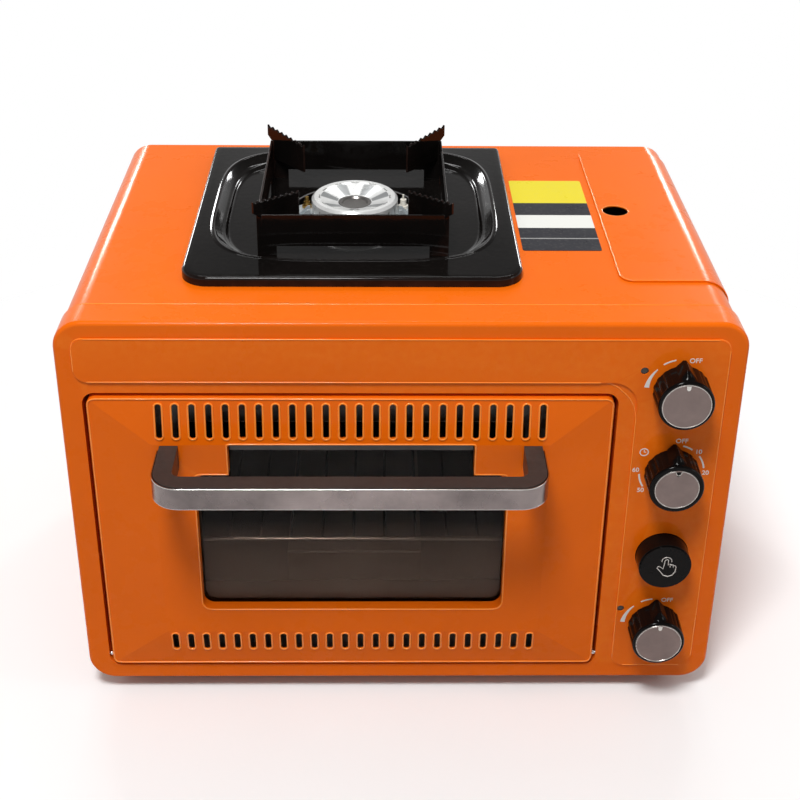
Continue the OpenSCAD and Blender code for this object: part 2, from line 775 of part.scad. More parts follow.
module burner_bracket() color([0.8, 0.84, 0.85]) place() translate([mid_x, burner_y, 0]) {
    leg_x = bracket_leg_x;
    half_y = 15;
    difference() {
        box([-leg_x, -half_y - 3, bracket_z - 1.5], [leg_x, half_y + 3, bracket_z]);
        translate([0, 0, bracket_z - 3]) cylinder(h = 6, r = base_r + fix_gap);
        for (x = [-rod_x_out, rod_x_out]) translate([x, rod_y_back, bracket_z - 3])
            cylinder(h = 6, r = rod_r + fix_gap);
        for (sx = [-1, 1], sy = [-1, 1])
            translate([sx * (leg_x + 1), sy * (half_y + 4), bracket_z - 3])
                rotate([0, 0, 45]) cube([9, 9, 20], center = true);
    }
    for (sx = [-1, 1]) {
        x = sx > 0 ? leg_x - 1.5 : -leg_x;
        difference() {
            box([x, -half_y, liner_z1], [x + 1.5, half_y, bracket_z - 1]);
            rod_x(0, mix_z, mix_r + seat_gap, 0, leg_x + 5);
        }
        box([sx > 0 ? leg_x - 16 : -leg_x, -half_y, liner_z1],
            [sx > 0 ? leg_x : -leg_x + 16, half_y, liner_z1 + 1.5]);
        for (y = [-13, -5]) translate([0, y, bracket_z - eps]) rotate([90, 0, 0])
            linear_extrude(1.2) polygon([[sx * (head_r + 1), 0], [sx * (leg_x - 1), 0],
                [sx * (head_r + 3), 9], [sx * (head_r + 1), 9]]);
    }
}

// Rod that stands in the burner bracket, on a collar
module bracket_rod(x, tip_r, up) translate([mid_x + x, burner_y + rod_y_back, bracket_z]) {
    translate([0, 0, -14]) cylinder(h = 14 + up, r = rod_r);
    cylinder(h = 2, r = rod_r + 1.3);
    translate([0, 0, up - eps]) cylinder(h = 4, r = tip_r);
}

module stove_electrode() color([0.92, 0.9, 0.86]) place() bracket_rod(rod_x_out, 0.8, 7);

module thermocouple() color([0.75, 0.62, 0.4]) place() bracket_rod(-rod_x_out, 1.6, 5);

// Valve block behind the front panel, with its mounting plate and stem bore
module valve(z, end) difference() {
    union() {
        slab_y(valve_y, valve_y + valve_plate)
            rr(control_x - screw_dx - 6, z - low_screw_dz - 5, control_x + valve_half + 5,
                z + screw_dz + 5, 5);
        box([control_x - valve_half, valve_y, z - valve_half],
            [control_x + valve_half, end, z + valve_half]);
        children();
    }
    rod_y(control_x, z, stem_r + run_gap, valve_y - 1, stem_bore);
    for (p = valve_screw_at(z))
        rod_y(p[0], p[1], valve_screw_r + fix_gap, valve_y - 1, valve_y + screw_in + 0.5);
}

module stove_valve() color([0.76, 0.72, 0.62]) place() valve(stove_z, valve_end) {
    rod_y(control_x, stove_z, reg_r, valve_end - eps, reg_end);
    rod_y(control_x, stove_z, port_r, reg_end - eps, port_end);
}

module oven_valve() color([0.76, 0.72, 0.62]) place() valve(oven_z, valve_end)
    rod_y(control_x, oven_z, cap_r, valve_end - eps, pipe_y + 8);

module timer_body() color([0.85, 0.85, 0.82]) place() difference() {
    slab_y(valve_y, timer_end) rr(control_x - timer_half, timer_z - timer_half,
        control_x + timer_half, timer_z + timer_half, 4);
    rod_y(control_x, timer_z, stem_r + run_gap, 0, stem_bore);
}

module safety_valve() color([0.76, 0.66, 0.4]) place() difference() {
    rod_y(control_x, button_z, cap_r, housing_end, pipe_y + 10);
    rod_y(control_x, button_z, button_stem_r + run_gap, housing_end - 1, housing_end + 14);
}

module button_housing() color([0.15, 0.15, 0.15]) place() difference() {
    rod_y(control_x, button_z, button_r + button_gap + housing_t, sheet, housing_end);
    rod_y(control_x, button_z, button_r + button_gap, 0, housing_end - housing_t);
    rod_y(control_x, button_z, button_stem_r + run_gap, 0, housing_end + 1);
}

spring_r = 9;
spring_wire = 0.7;
spring_turns = 5;
cap_end = 6;
spring_y0 = cap_end + button_travel + 1;
spring_y1 = housing_end - housing_t - spring_wire;
function spring_ring(i, n) = let (a = i * 360 * spring_turns / n,
    y = spring_y0 + (spring_y1 - spring_y0) * i / n)
    [for (k = [0 : 5]) [(spring_r + spring_wire * cos(k * 60)) * cos(a),
        y + spring_wire * sin(k * 60), (spring_r + spring_wire * cos(k * 60)) * sin(a)]];

module button_spring() color([0.7, 0.7, 0.7]) place() translate([control_x, 0, button_z]) {
    n = spring_turns * 16;
    points = [for (i = [0 : n]) each spring_ring(i, n)];
    side = [for (i = [0 : n - 1], k = [0 : 5]) each [
        [i * 6 + k, i * 6 + (k + 1) % 6, (i + 1) * 6 + k],
        [i * 6 + (k + 1) % 6, (i + 1) * 6 + (k + 1) % 6, (i + 1) * 6 + k]]];
    caps = [[5, 4, 3, 2, 1, 0], [for (k = [0 : 5]) n * 6 + k]];
    polyhedron(points, concat(side, caps));
}

module gas_pipes() color([0.78, 0.7, 0.5]) place() {
    feed_z = stove_z + 8;
    tube_run([[control_x - valve_half, 26, feed_z], [mix_x + 20, 26, feed_z],
        [mix_x + 20, burner_y, mix_z], [mix_x, burner_y, mix_z]], pipe_r);
    tube_run([[control_x, pipe_y, stove_z - reg_r], [control_x, pipe_y, button_z + cap_r]], pipe_r);
    tube_run([[control_x, pipe_y, button_z - cap_r], [control_x, pipe_y, oven_z + cap_r]], pipe_r);
    tube_run([[control_x - cap_r, pipe_y, oven_z], [tube_x1 + 9, pipe_y, oven_z],
        [tube_x1 + 9, tube_y, tube_z], [tube_x1, tube_y, tube_z]], pipe_r);
}

module bay_partition() color([0.6, 0.6, 0.6]) place() difference() {
    bar_x(partition_x, partition_x + sheet) translate([liner_y0 + 4, base_top])
        square([rear_y - sheet - liner_y0 - 4, under_top - base_top]);
    rod_x(26, stove_z + 8, pipe_r + 1, partition_x - 1, partition_x + sheet + 1);
    rod_x(tube_y, tube_z, tube_r + seat_gap, partition_x - 1, partition_x + sheet + 1);
}

module bay_floor() color([0.6, 0.6, 0.6]) place() {
    box([partition_x + sheet, lid_front - 4, bay_floor_z - sheet],
        [wall_x, rear_y - sheet, bay_floor_z]);
    box([wall_x - sheet, lid_front - 4, bay_floor_z - 12], [wall_x, rear_y - sheet, bay_floor_z]);
}

module cartridge_cradle() color([0.66, 0.66, 0.66]) place() slab_y(port_end + 10, bay_y1 - 8)
    intersection() {
        difference() {
            translate([control_x, stove_z]) circle(can_r + 2 * sheet);
            translate([control_x, stove_z]) circle(can_r + sheet);
        }
        translate([control_x - can_r * 0.8, bay_floor_z]) square([can_r * 1.6, can_r * 0.4 + 2]);
    }

module cartridge_lid() color([0.95, 0.5, 0.14]) place() difference() {
    union() {
        intersection() {
            slab_y(lid_front, lid_y1) difference() {
                rr(-lid_out, 60, lid_out, shell_top + seat_gap + sheet, shell_r + seat_gap + sheet);
                rr(-lid_in, 50, lid_in, shell_top + seat_gap, shell_r + seat_gap);
                translate([-far, 0]) square([far + lid_x, far]);
                translate([0, 0]) square([far, flap_z]);
            }
            plate_z(0, far) rr(lid_x, lid_front, half_w + 60, lid_y1, lid_r);
        }
        lip_z = shell_top - lid_lip;
        lip_top = shell_top + seat_gap + eps;
        box([bay_x + 1, bay_y0 + 6, lip_z], [bay_x + 1 + sheet, bay_y1 - 6, lip_top]);
        for (y = [bay_y0 + 1, bay_y1 - 1 - sheet])
            box([bay_x + 8, y, lip_z], [shell_x - shell_r - 2, y + sheet, lip_top]);
        for (y = lid_hinges, s = [-1, 1]) {
            y0 = y + s * (lug_l / 2 + seat_gap + knuckle_l / 2) - knuckle_l / 2;
            rod_y(pivot_x, pivot_z, knuckle_r, y0, y0 + knuckle_l);
            box([lid_in, y0, pivot_z], [lid_out, y0 + knuckle_l, flap_z + eps]);
        }
    }
    translate([lid_x + finger_in, burner_y + 5, under_top]) cylinder(h = 10, r = finger_r);
    for (y = lid_hinges) rod_y(pivot_x, pivot_z, lid_pin_r + run_gap, y - 20, y + 20);
}

module lid_hinge_pins() color([0.8, 0.8, 0.8]) place() for (y = lid_hinges)
    rod_y(pivot_x, pivot_z, lid_pin_r, y - lug_l / 2 - knuckle_l, y + lug_l / 2 + knuckle_l);

module lid_hinge_brackets() color([0.7, 0.7, 0.7]) place() for (y = lid_hinges) difference() {
    union() {
        rod_y(pivot_x, pivot_z, knuckle_r, y - lug_l / 2, y + lug_l / 2);
        box([wall_x - bracket_t, y - lug_l / 2, pivot_z - bracket_drop], [wall_x, y + lug_l / 2, pivot_z]);
    }
    rod_y(pivot_x, pivot_z, lid_pin_r + 0.05, y - 20, y + 20);
}

module door_2d(inset)
    rr(door_x0 + inset, door_z0 + inset, door_x1 - inset, door_z1 - inset, door_r - inset);

module window_2d(grow) {
    rr(mid_x - window_w / 2 - grow, window_z0 - grow, mid_x + window_w / 2 + grow, window_z1 + grow,
        window_r + grow);
    rr(mid_x - notch_w / 2 - grow, window_z1 - 20, mid_x + notch_w / 2 + grow, notch_z1 + grow,
        notch_r + grow);
}

// Front of the door: facets rise from the rim to the ridge, then fall to the window
module relief() difference() {
    intersection() {
        bar_x(door_x0, door_x1) polygon([[30, door_z0], [-door_lift, door_z0],
            [-ridge_lift, ridge_z0], [-ridge_lift, ridge_z1], [-door_lift, door_z1], [30, door_z1]]);
        plate_z(door_z0, door_z1) polygon([[door_x0, 30], [door_x0, -door_lift],
            [ridge_x0, -ridge_lift], [ridge_x1, -ridge_lift], [door_x1, -door_lift], [door_x1, 30]]);
    }
    intersection() {
        bar_x(ridge_x0, ridge_x1) polygon([[-30, ridge_z0], [-ridge_lift, ridge_z0],
            [dish - ridge_lift, ridge_z0 + dish_run], [dish - ridge_lift, ridge_z1 - dish_run],
            [-ridge_lift, ridge_z1], [-30, ridge_z1]]);
        plate_z(ridge_z0, ridge_z1) polygon([[ridge_x0, -30], [ridge_x0, -ridge_lift],
            [ridge_x0 + dish_run, dish - ridge_lift], [ridge_x1 - dish_run, dish - ridge_lift],
            [ridge_x1, -ridge_lift], [ridge_x1, -30]]);
    }
}

module slot_row(z0, length) for (i = [0 : slot_n - 1])
    translate([mid_x + (i - (slot_n - 1) / 2) * slot_pitch - slot_w / 2, z0])
        rr(0, 0, slot_w, length, slot_w / 2 - eps);

module door_pin_holes(gap) for (x = [door_x0 - 5, door_x1 - 5])
    rod_x(hinge_in, hinge_z, hinge_pin_r + gap, x, x + 10);

module side_screw_holes(gap) for (x = [door_x0 - 5, door_x1 - 5], z = side_screws_z)
    rod_x(side_screw_y, z, 1.3 + gap, x, x + 10);

side_screw_y = 7;
side_screws_z = [door_z0 + 33, door_z0 + 61];

module door_outer() color([0.82, 0.32, 0.07]) place() difference() {
    union() {
        difference() {
            intersection() {
                relief();
                slab_y(-20, skin_back) door_2d(0);
            }
            intersection() {
                translate([0, sheet, 0]) relief();
                slab_y(-20, skin_back + 1) door_2d(sheet);
            }
        }
        intersection() {
            relief();
            slab_y(-20, glass_y) window_2d(sheet);
        }
    }
    slab_y(-20, 30) window_2d(0);
    slab_y(-20, 0) slot_row(door_z1 - slot_top_drop - slot_top_l, slot_top_l);
    slab_y(-20, 0) slot_row(door_z0 + slot_low_up, slot_low_l);
    for (s = [-1, 1]) rod_y(mid_x + s * post_x, handle_z, handle_screw_r + fix_gap, -20, 0);
    door_pin_holes(fix_gap);
    side_screw_holes(fix_gap);
}

module door_inner() color([0.7, 0.7, 0.68]) place() difference() {
    slab_y(0, door_back) door_2d(inner_in);
    slab_y(-1, door_back - sheet) door_2d(inner_in + sheet);
    slab_y(0, door_back + 1) frame_2d(sheet + fix_gap);
    door_pin_holes(fix_gap);
    side_screw_holes(fix_gap);
}

module window_glass() color([0.15, 0.12, 0.1, 0.6]) place() slab_y(glass_y, glass_y + glass_t)
    rr(mid_x - window_w / 2 - glass_lap, window_z0 - glass_lap, mid_x + window_w / 2 + glass_lap,
        notch_z1 + glass_lap, 4);

// Opening of the frame behind the glass, grown outwards
module frame_2d(grow) rr(mid_x - frame_w / 2 - grow, window_z0 - grow, mid_x + frame_w / 2 + grow,
    frame_z1 + grow, window_r + grow);

module glass_frame() color([0.35, 0.35, 0.35]) place() {
    back = glass_y + glass_t;
    slab_y(back, back + sheet) difference() {
        rr(mid_x - window_w / 2 - glass_lap, window_z0 - glass_lap, mid_x + window_w / 2 + glass_lap,
            notch_z1 + glass_lap, 4);
        frame_2d(0);
    }
    slab_y(back, door_back) difference() {
        frame_2d(sheet);
        frame_2d(0);
    }
}

// Plan of the handle: a bar with two posts, rounded at the front corners
module handle_2d(inset) difference() {
    w = handle_w / 2 - inset;
    translate([mid_x, 0]) rr(-w, -handle_reach + inset, w, 60, bar_r - inset);
    translate([mid_x, 0]) rr(-handle_w / 2 + bar_t, -handle_reach + bar_t, handle_w / 2 - bar_t, 60,
        bar_r - bar_t);
    translate([-far / 2, -ridge_lift]) square([far, far]);
}

module door_handle() color([0.2, 0.2, 0.21]) place() difference() {
    plate_z(handle_z - bar_h / 2, handle_z + bar_h / 2) handle_2d(facing_t + 0.05);
    for (s = [-1, 1]) rod_y(mid_x + s * post_x, handle_z, handle_screw_r + 0.05, -ridge_lift - 13, 0);
}

module handle_facing() color([0.72, 0.71, 0.69]) place()
    plate_z(handle_z - bar_h / 2 + 1, handle_z + bar_h / 2 - 1) difference() {
        handle_2d(0);
        handle_2d_core();
        translate([-far / 2, -ridge_lift - 4]) square([far, far]);
    }

// Everything inside the facing
module handle_2d_core() {
    w = handle_w / 2 - facing_t;
    translate([mid_x, 0]) rr(-w, -handle_reach + facing_t, w, 60, bar_r - facing_t);
}

module handle_screws() color([0.75, 0.75, 0.75]) place() for (s = [-1, 1]) {
    head = sheet - ridge_lift + 0.5;
    rod_y(mid_x + s * post_x, handle_z, handle_screw_r * 2, head, head + 2);
    rod_y(mid_x + s * post_x, handle_z, handle_screw_r, -ridge_lift - 12, head + eps);
}

pin_out = door_gap + sheet + bracket_t + seat_gap;
pin_head = 1.6;

// Pins through the door's side walls and the brackets, with their heads outside
module door_hinge_pins() color([0.85, 0.85, 0.85]) place() for (s = [-1, 1]) {
    edge = s < 0 ? door_x0 : door_x1;
    inner = inner_in + sheet + 2;
    rod_x(hinge_in, hinge_z, hinge_pin_r, s < 0 ? edge - pin_out - eps : edge - inner,
        s < 0 ? edge + inner : edge + pin_out + eps);
    rod_x(hinge_in, hinge_z, hinge_pin_r + 0.8, s < 0 ? edge - pin_out - pin_head : edge + pin_out,
        s < 0 ? edge - pin_out : edge + pin_out + pin_head);
}

module hinge_brackets() color([0.7, 0.7, 0.7]) place() difference() {
    for (x = [open_x0 - sheet - bracket_t, open_x1 + sheet])
        box([x, sheet + 0.2, open_z0 + 1], [x + bracket_t, jamb_depth - 1, open_z0 + 22]);
    for (x = [open_x0 - 5, open_x1 - 5])
        rod_x(hinge_in, hinge_z, hinge_pin_r + run_gap, x, x + 10);
}

module door_catch() color([0.25, 0.25, 0.25]) place()
    box([mid_x - 20, door_back + 0.5, liner_z1 + 0.5], [mid_x + 20, liner_y0, liner_z1 + 7]);

module door_side_screws() color([0.8, 0.8, 0.8]) place()
    for (s = [-1, 1], z = side_screws_z) {
        edge = s < 0 ? door_x0 : door_x1;
        rod_x(side_screw_y, z, 2.2, s < 0 ? edge - 0.8 : edge, s < 0 ? edge : edge + 0.8);
        rod_x(side_screw_y, z, 1.3, s < 0 ? edge - eps : edge - 5, s < 0 ? edge + 5 : edge + eps);
    }

// Knob with its axis along its own z, its face forward and its pointer up
module knob_shape(face_r) difference() {
    union() {
        rotate_extrude() polygon([[0, 0], [knob_r, 0], [knob_r - 0.3, knob_l - 1.5],
            [knob_r - 1.6, knob_l], [0, knob_l]]);
        linear_extrude(knob_l - 2) polygon([[-8, knob_r - 3.5], [-1, pointer_r], [1, pointer_r],
            [8, knob_r - 3.5]]);
    }
    translate([0, 0, knob_l - 2]) cylinder(h = 3, r = face_r + fix_gap);
    difference() {
        translate([0, 0, -1]) cylinder(h = 15, r = knob_r - 2.5);
        translate([0, 0, -2]) cylinder(h = 17, r = stem_r + 3);
    }
    translate([0, 0, -1]) cylinder(h = stem_in + 1, r = stem_r + 0.05);
    for (i = [2 : 16]) rotate([0, 0, i * 20]) translate([0, knob_r + 0.9, -1])
        cylinder(h = knob_l - 3, r = 1.6);
}

// Turns a knob shape to face forward at the height z
module on_panel(z) translate([control_x, knob_back, z]) rotate([90, 0, 0]) children();

module insert_shape(face_r) difference() {
    translate([0, 0, knob_l - 2]) cylinder(h = 1.8, r = face_r);
    box([-0.7, face_r - 5, knob_l - 0.7], [0.7, face_r - 1, knob_l + 1]);
}

module stove_knob() color([0.04, 0.04, 0.04]) place() on_panel(stove_z) knob_shape(insert_r);
module stove_insert() color([0.5, 0.46, 0.43]) place() on_panel(stove_z) insert_shape(insert_r);
module stove_stem() color([0.8, 0.8, 0.75]) place() stem(stove_z);
module oven_knob() color([0.04, 0.04, 0.04]) place() on_panel(oven_z) knob_shape(insert_r);
module oven_insert() color([0.5, 0.46, 0.43]) place() on_panel(oven_z) insert_shape(insert_r);
module oven_stem() color([0.8, 0.8, 0.75]) place() stem(oven_z);
module timer_knob() color([0.04, 0.04, 0.04]) place() on_panel(timer_z) knob_shape(timer_insert_r);
module timer_insert() color([0.5, 0.46, 0.43]) place() on_panel(timer_z) insert_shape(timer_insert_r);
module timer_stem() color([0.8, 0.8, 0.75]) place() stem(timer_z);

// Stem from inside the knob to the bottom of the valve's bore
module stem(z) rod_y(control_x, z, stem_r, knob_back - stem_in + 0.5, stem_bore - 0.5);

module safety_button() color([0.04, 0.04, 0.04]) place() {
    rod_y(control_x, button_z, button_r - 1, -button_l, -button_l + 1);
    rod_y(control_x, button_z, button_r, -button_l + 1, cap_end);
    rod_y(control_x, button_z, button_stem_r, cap_end - eps, housing_end + 7);
}

module valve_screws() color([0.6, 0.6, 0.6]) place() for (z = [stove_z, oven_z])
    for (p = valve_screw_at(z)) {
        rod_y(p[0], p[1], valve_screw_r + 0.8, sheet - emboss, valve_y - 0.01);
        rod_y(p[0], p[1], valve_screw_r, 0, valve_y + screw_in);
    }

module label_plate() color([0.9, 0.8, 0.2]) place() plate_z(shell_top, shell_top + label_t)
    rr(lid_x - label_gap - label_w, burner_y - label_front, lid_x - label_gap,
        burner_y + label_back, 2);

front_panel();
body_shell();
rear_panel();
base_pan();
rubber_feet();
foot_screws();
rear_screws();
oven_liner();
liner_supports();
rack_rails();
wire_rack();
heat_baffle();
oven_burner_tube();
oven_electrode();
drip_pan();
pot_support();
burner_base();
burner_head();
burner_cup();
burner_bracket();
stove_electrode();
thermocouple();
stove_valve();
oven_valve();
timer_body();
safety_valve();
button_housing();
button_spring();
gas_pipes();
bay_partition();
bay_floor();
cartridge_cradle();
cartridge_lid();
lid_hinge_pins();
lid_hinge_brackets();
door_outer();
door_inner();
window_glass();
glass_frame();
door_handle();
handle_facing();
handle_screws();
door_hinge_pins();
hinge_brackets();
door_catch();
door_side_screws();
stove_knob();
stove_insert();
stove_stem();
oven_knob();
oven_insert();
oven_stem();
timer_knob();
timer_insert();
timer_stem();
safety_button();
valve_screws();
label_plate();
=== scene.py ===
"""The looks of a camp oven with one gas ring on top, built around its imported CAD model."""
import json
from math import atan2, cos, hypot, pi, radians, sin

import bpy
from mathutils import Matrix, Vector
from mathutils.bvhtree import BVHTree


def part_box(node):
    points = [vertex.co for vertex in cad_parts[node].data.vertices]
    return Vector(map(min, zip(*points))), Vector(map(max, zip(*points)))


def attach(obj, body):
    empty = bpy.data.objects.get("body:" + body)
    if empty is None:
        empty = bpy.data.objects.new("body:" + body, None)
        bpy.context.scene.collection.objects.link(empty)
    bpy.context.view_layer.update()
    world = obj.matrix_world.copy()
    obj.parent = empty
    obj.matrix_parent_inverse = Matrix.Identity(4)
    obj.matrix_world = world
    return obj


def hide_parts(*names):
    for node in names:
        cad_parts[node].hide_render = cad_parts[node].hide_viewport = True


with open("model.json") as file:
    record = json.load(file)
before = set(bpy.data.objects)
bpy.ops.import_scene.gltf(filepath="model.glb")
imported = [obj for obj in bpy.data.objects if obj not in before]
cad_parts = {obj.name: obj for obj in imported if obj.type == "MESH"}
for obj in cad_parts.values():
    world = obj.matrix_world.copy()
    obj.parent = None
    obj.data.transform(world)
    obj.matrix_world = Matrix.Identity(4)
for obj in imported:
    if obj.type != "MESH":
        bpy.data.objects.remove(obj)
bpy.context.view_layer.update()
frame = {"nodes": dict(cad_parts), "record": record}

# Drawing frame in millimetres: x across, y back from the case's front, z up from its underside
FRONT_Y = -136.5
FOOT_H = 12.0
MM = 0.001

MID_X = -34.75  # middle of the door, the pan and the gas ring
RING_Y = 182.0  # how far back the middle of the gas ring is
CONTROL_X = 191.0  # middle of the control column
DIAL_Z = {"stove": 258.0, "timer": 190.5, "oven": 53.0}
BUTTON_Z = 118.0
FORWARD, BACKWARD, UPWARD = Vector((0, -1, 0)), Vector((0, 1, 0)), Vector((0, 0, 1))


def at(x, y, z):
    """A point of the drawing, in metres in the CAD frame."""
    return Vector((x * MM, (y + FRONT_Y) * MM, (z + FOOT_H) * MM))


def circle(points):
    """Equal steps round a circle, in radians."""
    return [2 * pi * i / points for i in range(points)]


def put(name, data, place=Matrix()):
    """A new object in the scene, standing as the matrix says."""
    obj = bpy.data.objects.new(name, data)
    obj.matrix_world = place
    bpy.context.scene.collection.objects.link(obj)
    return obj


def srgb(r, g, b):
    """A colour as it is seen on a screen, 0 to 255, for a shader socket."""
    def linear(c):
        c /= 255
        return c / 12.92 if c <= 0.04045 else ((c + 0.055) / 1.055) ** 2.4
    return (linear(r), linear(g), linear(b), 1.0)


# Camera
CAMERA_AT = (-15.89, -818.08, 752.17)
PITCH, YAW, ROLL = radians(27.0784), radians(0.9767), radians(0.5788)
FOCAL_PX, PICTURE_PX, AXIS_ROW_PX = 1395.77, 800, 290
FILM_W = 36.0  # width of the film behind the lens, in mm
NEAREST, FARTHEST = 0.05, 50.0  # how near and how far the camera sees, in metres


def add_camera():
    """Stands the camera where the photograph was taken from."""
    ahead = Vector((sin(YAW) * cos(PITCH), cos(YAW) * cos(PITCH), -sin(PITCH)))
    level = Vector((cos(YAW), -sin(YAW), 0))
    above = level.cross(ahead)
    right = cos(ROLL) * level + sin(ROLL) * above
    top = cos(ROLL) * above - sin(ROLL) * level
    data = bpy.data.cameras.new("camera")
    data.sensor_width = FILM_W
    data.lens = FOCAL_PX / PICTURE_PX * FILM_W
    data.shift_y = (AXIS_ROW_PX - PICTURE_PX / 2) / PICTURE_PX
    data.clip_start, data.clip_end = NEAREST, FARTHEST
    place = Matrix.Translation(at(*CAMERA_AT)) @ Matrix((right, top, -ahead)).transposed().to_4x4()
    bpy.context.scene.camera = put("camera", data, place)


add_camera()

# Nodes of an effect or a finish: each helper adds one node to a tree and gives its output
MIX_SHADE, MIX_OTHER, MIX_RESULT = 6, 7, 2  # the colour sockets of a Mix node


def feed(tree, socket, value):
    """Links an output to a socket, or sets the socket to a plain number or colour."""
    if isinstance(value, bpy.types.NodeSocket):
        tree.links.new(value, socket)
    else:
        socket.default_value = value


def own_point(tree):
    """The place on the piece itself, which stays with the piece as it moves."""
    return tree.nodes.new("ShaderNodeTexCoord").outputs["Object"]


def coordinate(tree, vector, axis):
    """One coordinate of a vector, or one channel of a colour."""
    split = tree.nodes.new("ShaderNodeSeparateXYZ")
    tree.links.new(vector, split.inputs[0])
    return split.outputs[axis]


def noise(tree, scale, detail, rough=0.55, vector=None):
    """A noise texture, on the piece's own coordinates unless others are given."""
    node = tree.nodes.new("ShaderNodeTexNoise")
    for label, value in (("Detail", detail), ("Roughness", rough), ("Scale", scale),
                         ("Vector", own_point(tree) if vector is None else vector)):
        feed(tree, node.inputs[label], value)
    return node.outputs["Fac"]


def spread(tree, value, low, high, out_low=0.0, out_high=1.0, eased=False):
    """A value spread between two levels and cut off at both ends."""
    node = tree.nodes.new("ShaderNodeMapRange")
    if eased:
        node.interpolation_type = "SMOOTHSTEP"
    for label, x in (("Value", value), ("From Min", low), ("From Max", high),
                     ("To Min", out_low), ("To Max", out_high)):
        feed(tree, node.inputs[label], x)
    return node.outputs["Result"]


def maths(tree, kind, a, b=0.0):
    """One step of arithmetic."""
    node = tree.nodes.new("ShaderNodeMath")
    node.operation = kind
    for socket, x in zip(node.inputs, (a, b)):
        feed(tree, socket, x)
    return node.outputs[0]


def product(tree, first, *others):
    """Several values multiplied together."""
    for other in others:
        first = maths(tree, "MULTIPLY", first, other)
    return first


def mix(tree, share, shade, other):
    """A mix of two colours."""
    node = tree.nodes.new("ShaderNodeMix")
    node.data_type = "RGBA"
    for socket, x in (("Factor", share), (MIX_SHADE, shade), (MIX_OTHER, other)):
        feed(tree, node.inputs[socket], x)
    return node.outputs[MIX_RESULT]


# Surface effects, with the kind of socket for so many numbers
SOCKETS = {1: "NodeSocketFloat", 3: "NodeSocketVector", 4: "NodeSocketColor"}
GREY = (0.5, 0.5, 0.5, 1)
DUST_SHADE = (0.5, 0.47, 0.42, 1)
UPRIGHT_ENOUGH = 0.2  # how far up a face has to look before dust lies on it
EDGE_TURN = (0.52, 0.60)  # how sharply an edge turns before it takes the edge tint, and fully so
EDGE_TINT_SCALE, SPECK_SCALE, FILM_SCALE = 180.0, 420.0, 14.0
LEAST_EDGE_TINT, LEAST_FILM = 0.3, 0.88

# Levels of a noise or a wave between which an effect grows from none to full
DRIFT_LEVELS, SMUDGE_LEVELS, EDGE_TINT_LEVELS = (0.35, 0.68), (0.3, 0.72), (0.35, 0.7)
SPECK_LEVELS, FILM_LEVELS, REFLECTION_LEVELS = (0.52, 0.75), (0.2, 0.8), (0.1, 0.5)


def effect(name, result, **inputs):
    """An empty shader node group: (group, its inputs by name, its output)."""
    tree = bpy.data.node_groups.new(name, "ShaderNodeTree")
    add = tree.interface.new_socket
    for label, value in inputs.items():
        kind = SOCKETS[len(value) if isinstance(value, tuple) else 1]
        add(label.replace("_", " "), in_out="INPUT", socket_type=kind).default_value = value
    add(result, in_out="OUTPUT", socket_type=SOCKETS[4 if result == "Color" else 1])
    ins, outs = tree.nodes.new("NodeGroupInput"), tree.nodes.new("NodeGroupOutput")
    return tree, ins.outputs, outs.inputs[0]


def make_tone_drift():
    """Slow cloudy drift between two shades of a finish."""
    tree, ins, out = effect("tone drift", "Color", Shade=GREY, Other_shade=GREY, Scale=12.0)
    share = spread(tree, noise(tree, ins["Scale"], detail=5.0, rough=0.6), *DRIFT_LEVELS)
    feed(tree, out, mix(tree, share, ins["Shade"], ins["Other shade"]))
    return tree


def make_edge_wear_and_sheen():
    """Another shade where the surface turns sharply outward."""
    # Rubbed wear on the grey handle coat, a lighter orange on the orange paint, and a red-brown
    # painted reflection of the orange case on the black enamel
    tree, ins, out = effect("edge wear and painted sheen", "Color", Finish=GREY, Rubbed=GREY, Amount=0.5)
    turn = tree.nodes.new("ShaderNodeNewGeometry").outputs["Pointiness"]
    patchy = spread(tree, noise(tree, EDGE_TINT_SCALE, detail=4.0), *EDGE_TINT_LEVELS, LEAST_EDGE_TINT, 1.0)
    share = product(tree, spread(tree, turn, *EDGE_TURN), patchy, ins["Amount"])
    feed(tree, out, mix(tree, share, ins["Finish"], ins["Rubbed"]))
    return tree


def make_dust():
    """Fine dust that has settled on what faces up."""
    tree, ins, out = effect("settled dust", "Color", Finish=GREY, Dust=DUST_SHADE, Amount=0.1)
    normal = tree.nodes.new("ShaderNodeTexCoord").outputs["Normal"]
    up = spread(tree, coordinate(tree, normal, "Z"), UPRIGHT_ENOUGH, 1.0)
    specks = spread(tree, noise(tree, SPECK_SCALE, detail=6.0, rough=0.7), *SPECK_LEVELS)
    share = product(tree, up, specks, ins["Amount"])
    feed(tree, out, mix(tree, share, ins["Finish"], ins["Dust"]))
    return tree


def make_smudges():
    """Roughness that wanders between two levels, as handled surfaces do."""
    tree, ins, out = effect("smudges", "Roughness", Low=0.2, High=0.4, Scale=30.0)
    cloud = noise(tree, ins["Scale"], detail=6.0, rough=0.65)
    feed(tree, out, spread(tree, cloud, *SMUDGE_LEVELS, ins["Low"], ins["High"]))
    return tree


def make_grain():
    """Fine all-round grain: the skin of a powder coat, a casting or a moulding."""
    tree, ins, out = effect("fine grain", "Height", Scale=900.0)
    feed(tree, out, noise(tree, ins["Scale"], detail=3.0))
    return tree


def make_brushing():
    """Long fine lines along one direction, from a belt or a brush."""
    tree, ins, out = effect("brushed lines", "Height", Stretch=(0.02, 1, 1), Scale=2500.0)
    scaled = tree.nodes.new("ShaderNodeVectorMath")
    scaled.operation = "MULTIPLY"
    feed(tree, scaled.inputs[0], own_point(tree))
    feed(tree, scaled.inputs[1], ins["Stretch"])
    feed(tree, out, noise(tree, ins["Scale"], detail=2.0, vector=scaled.outputs[0]))
    return tree


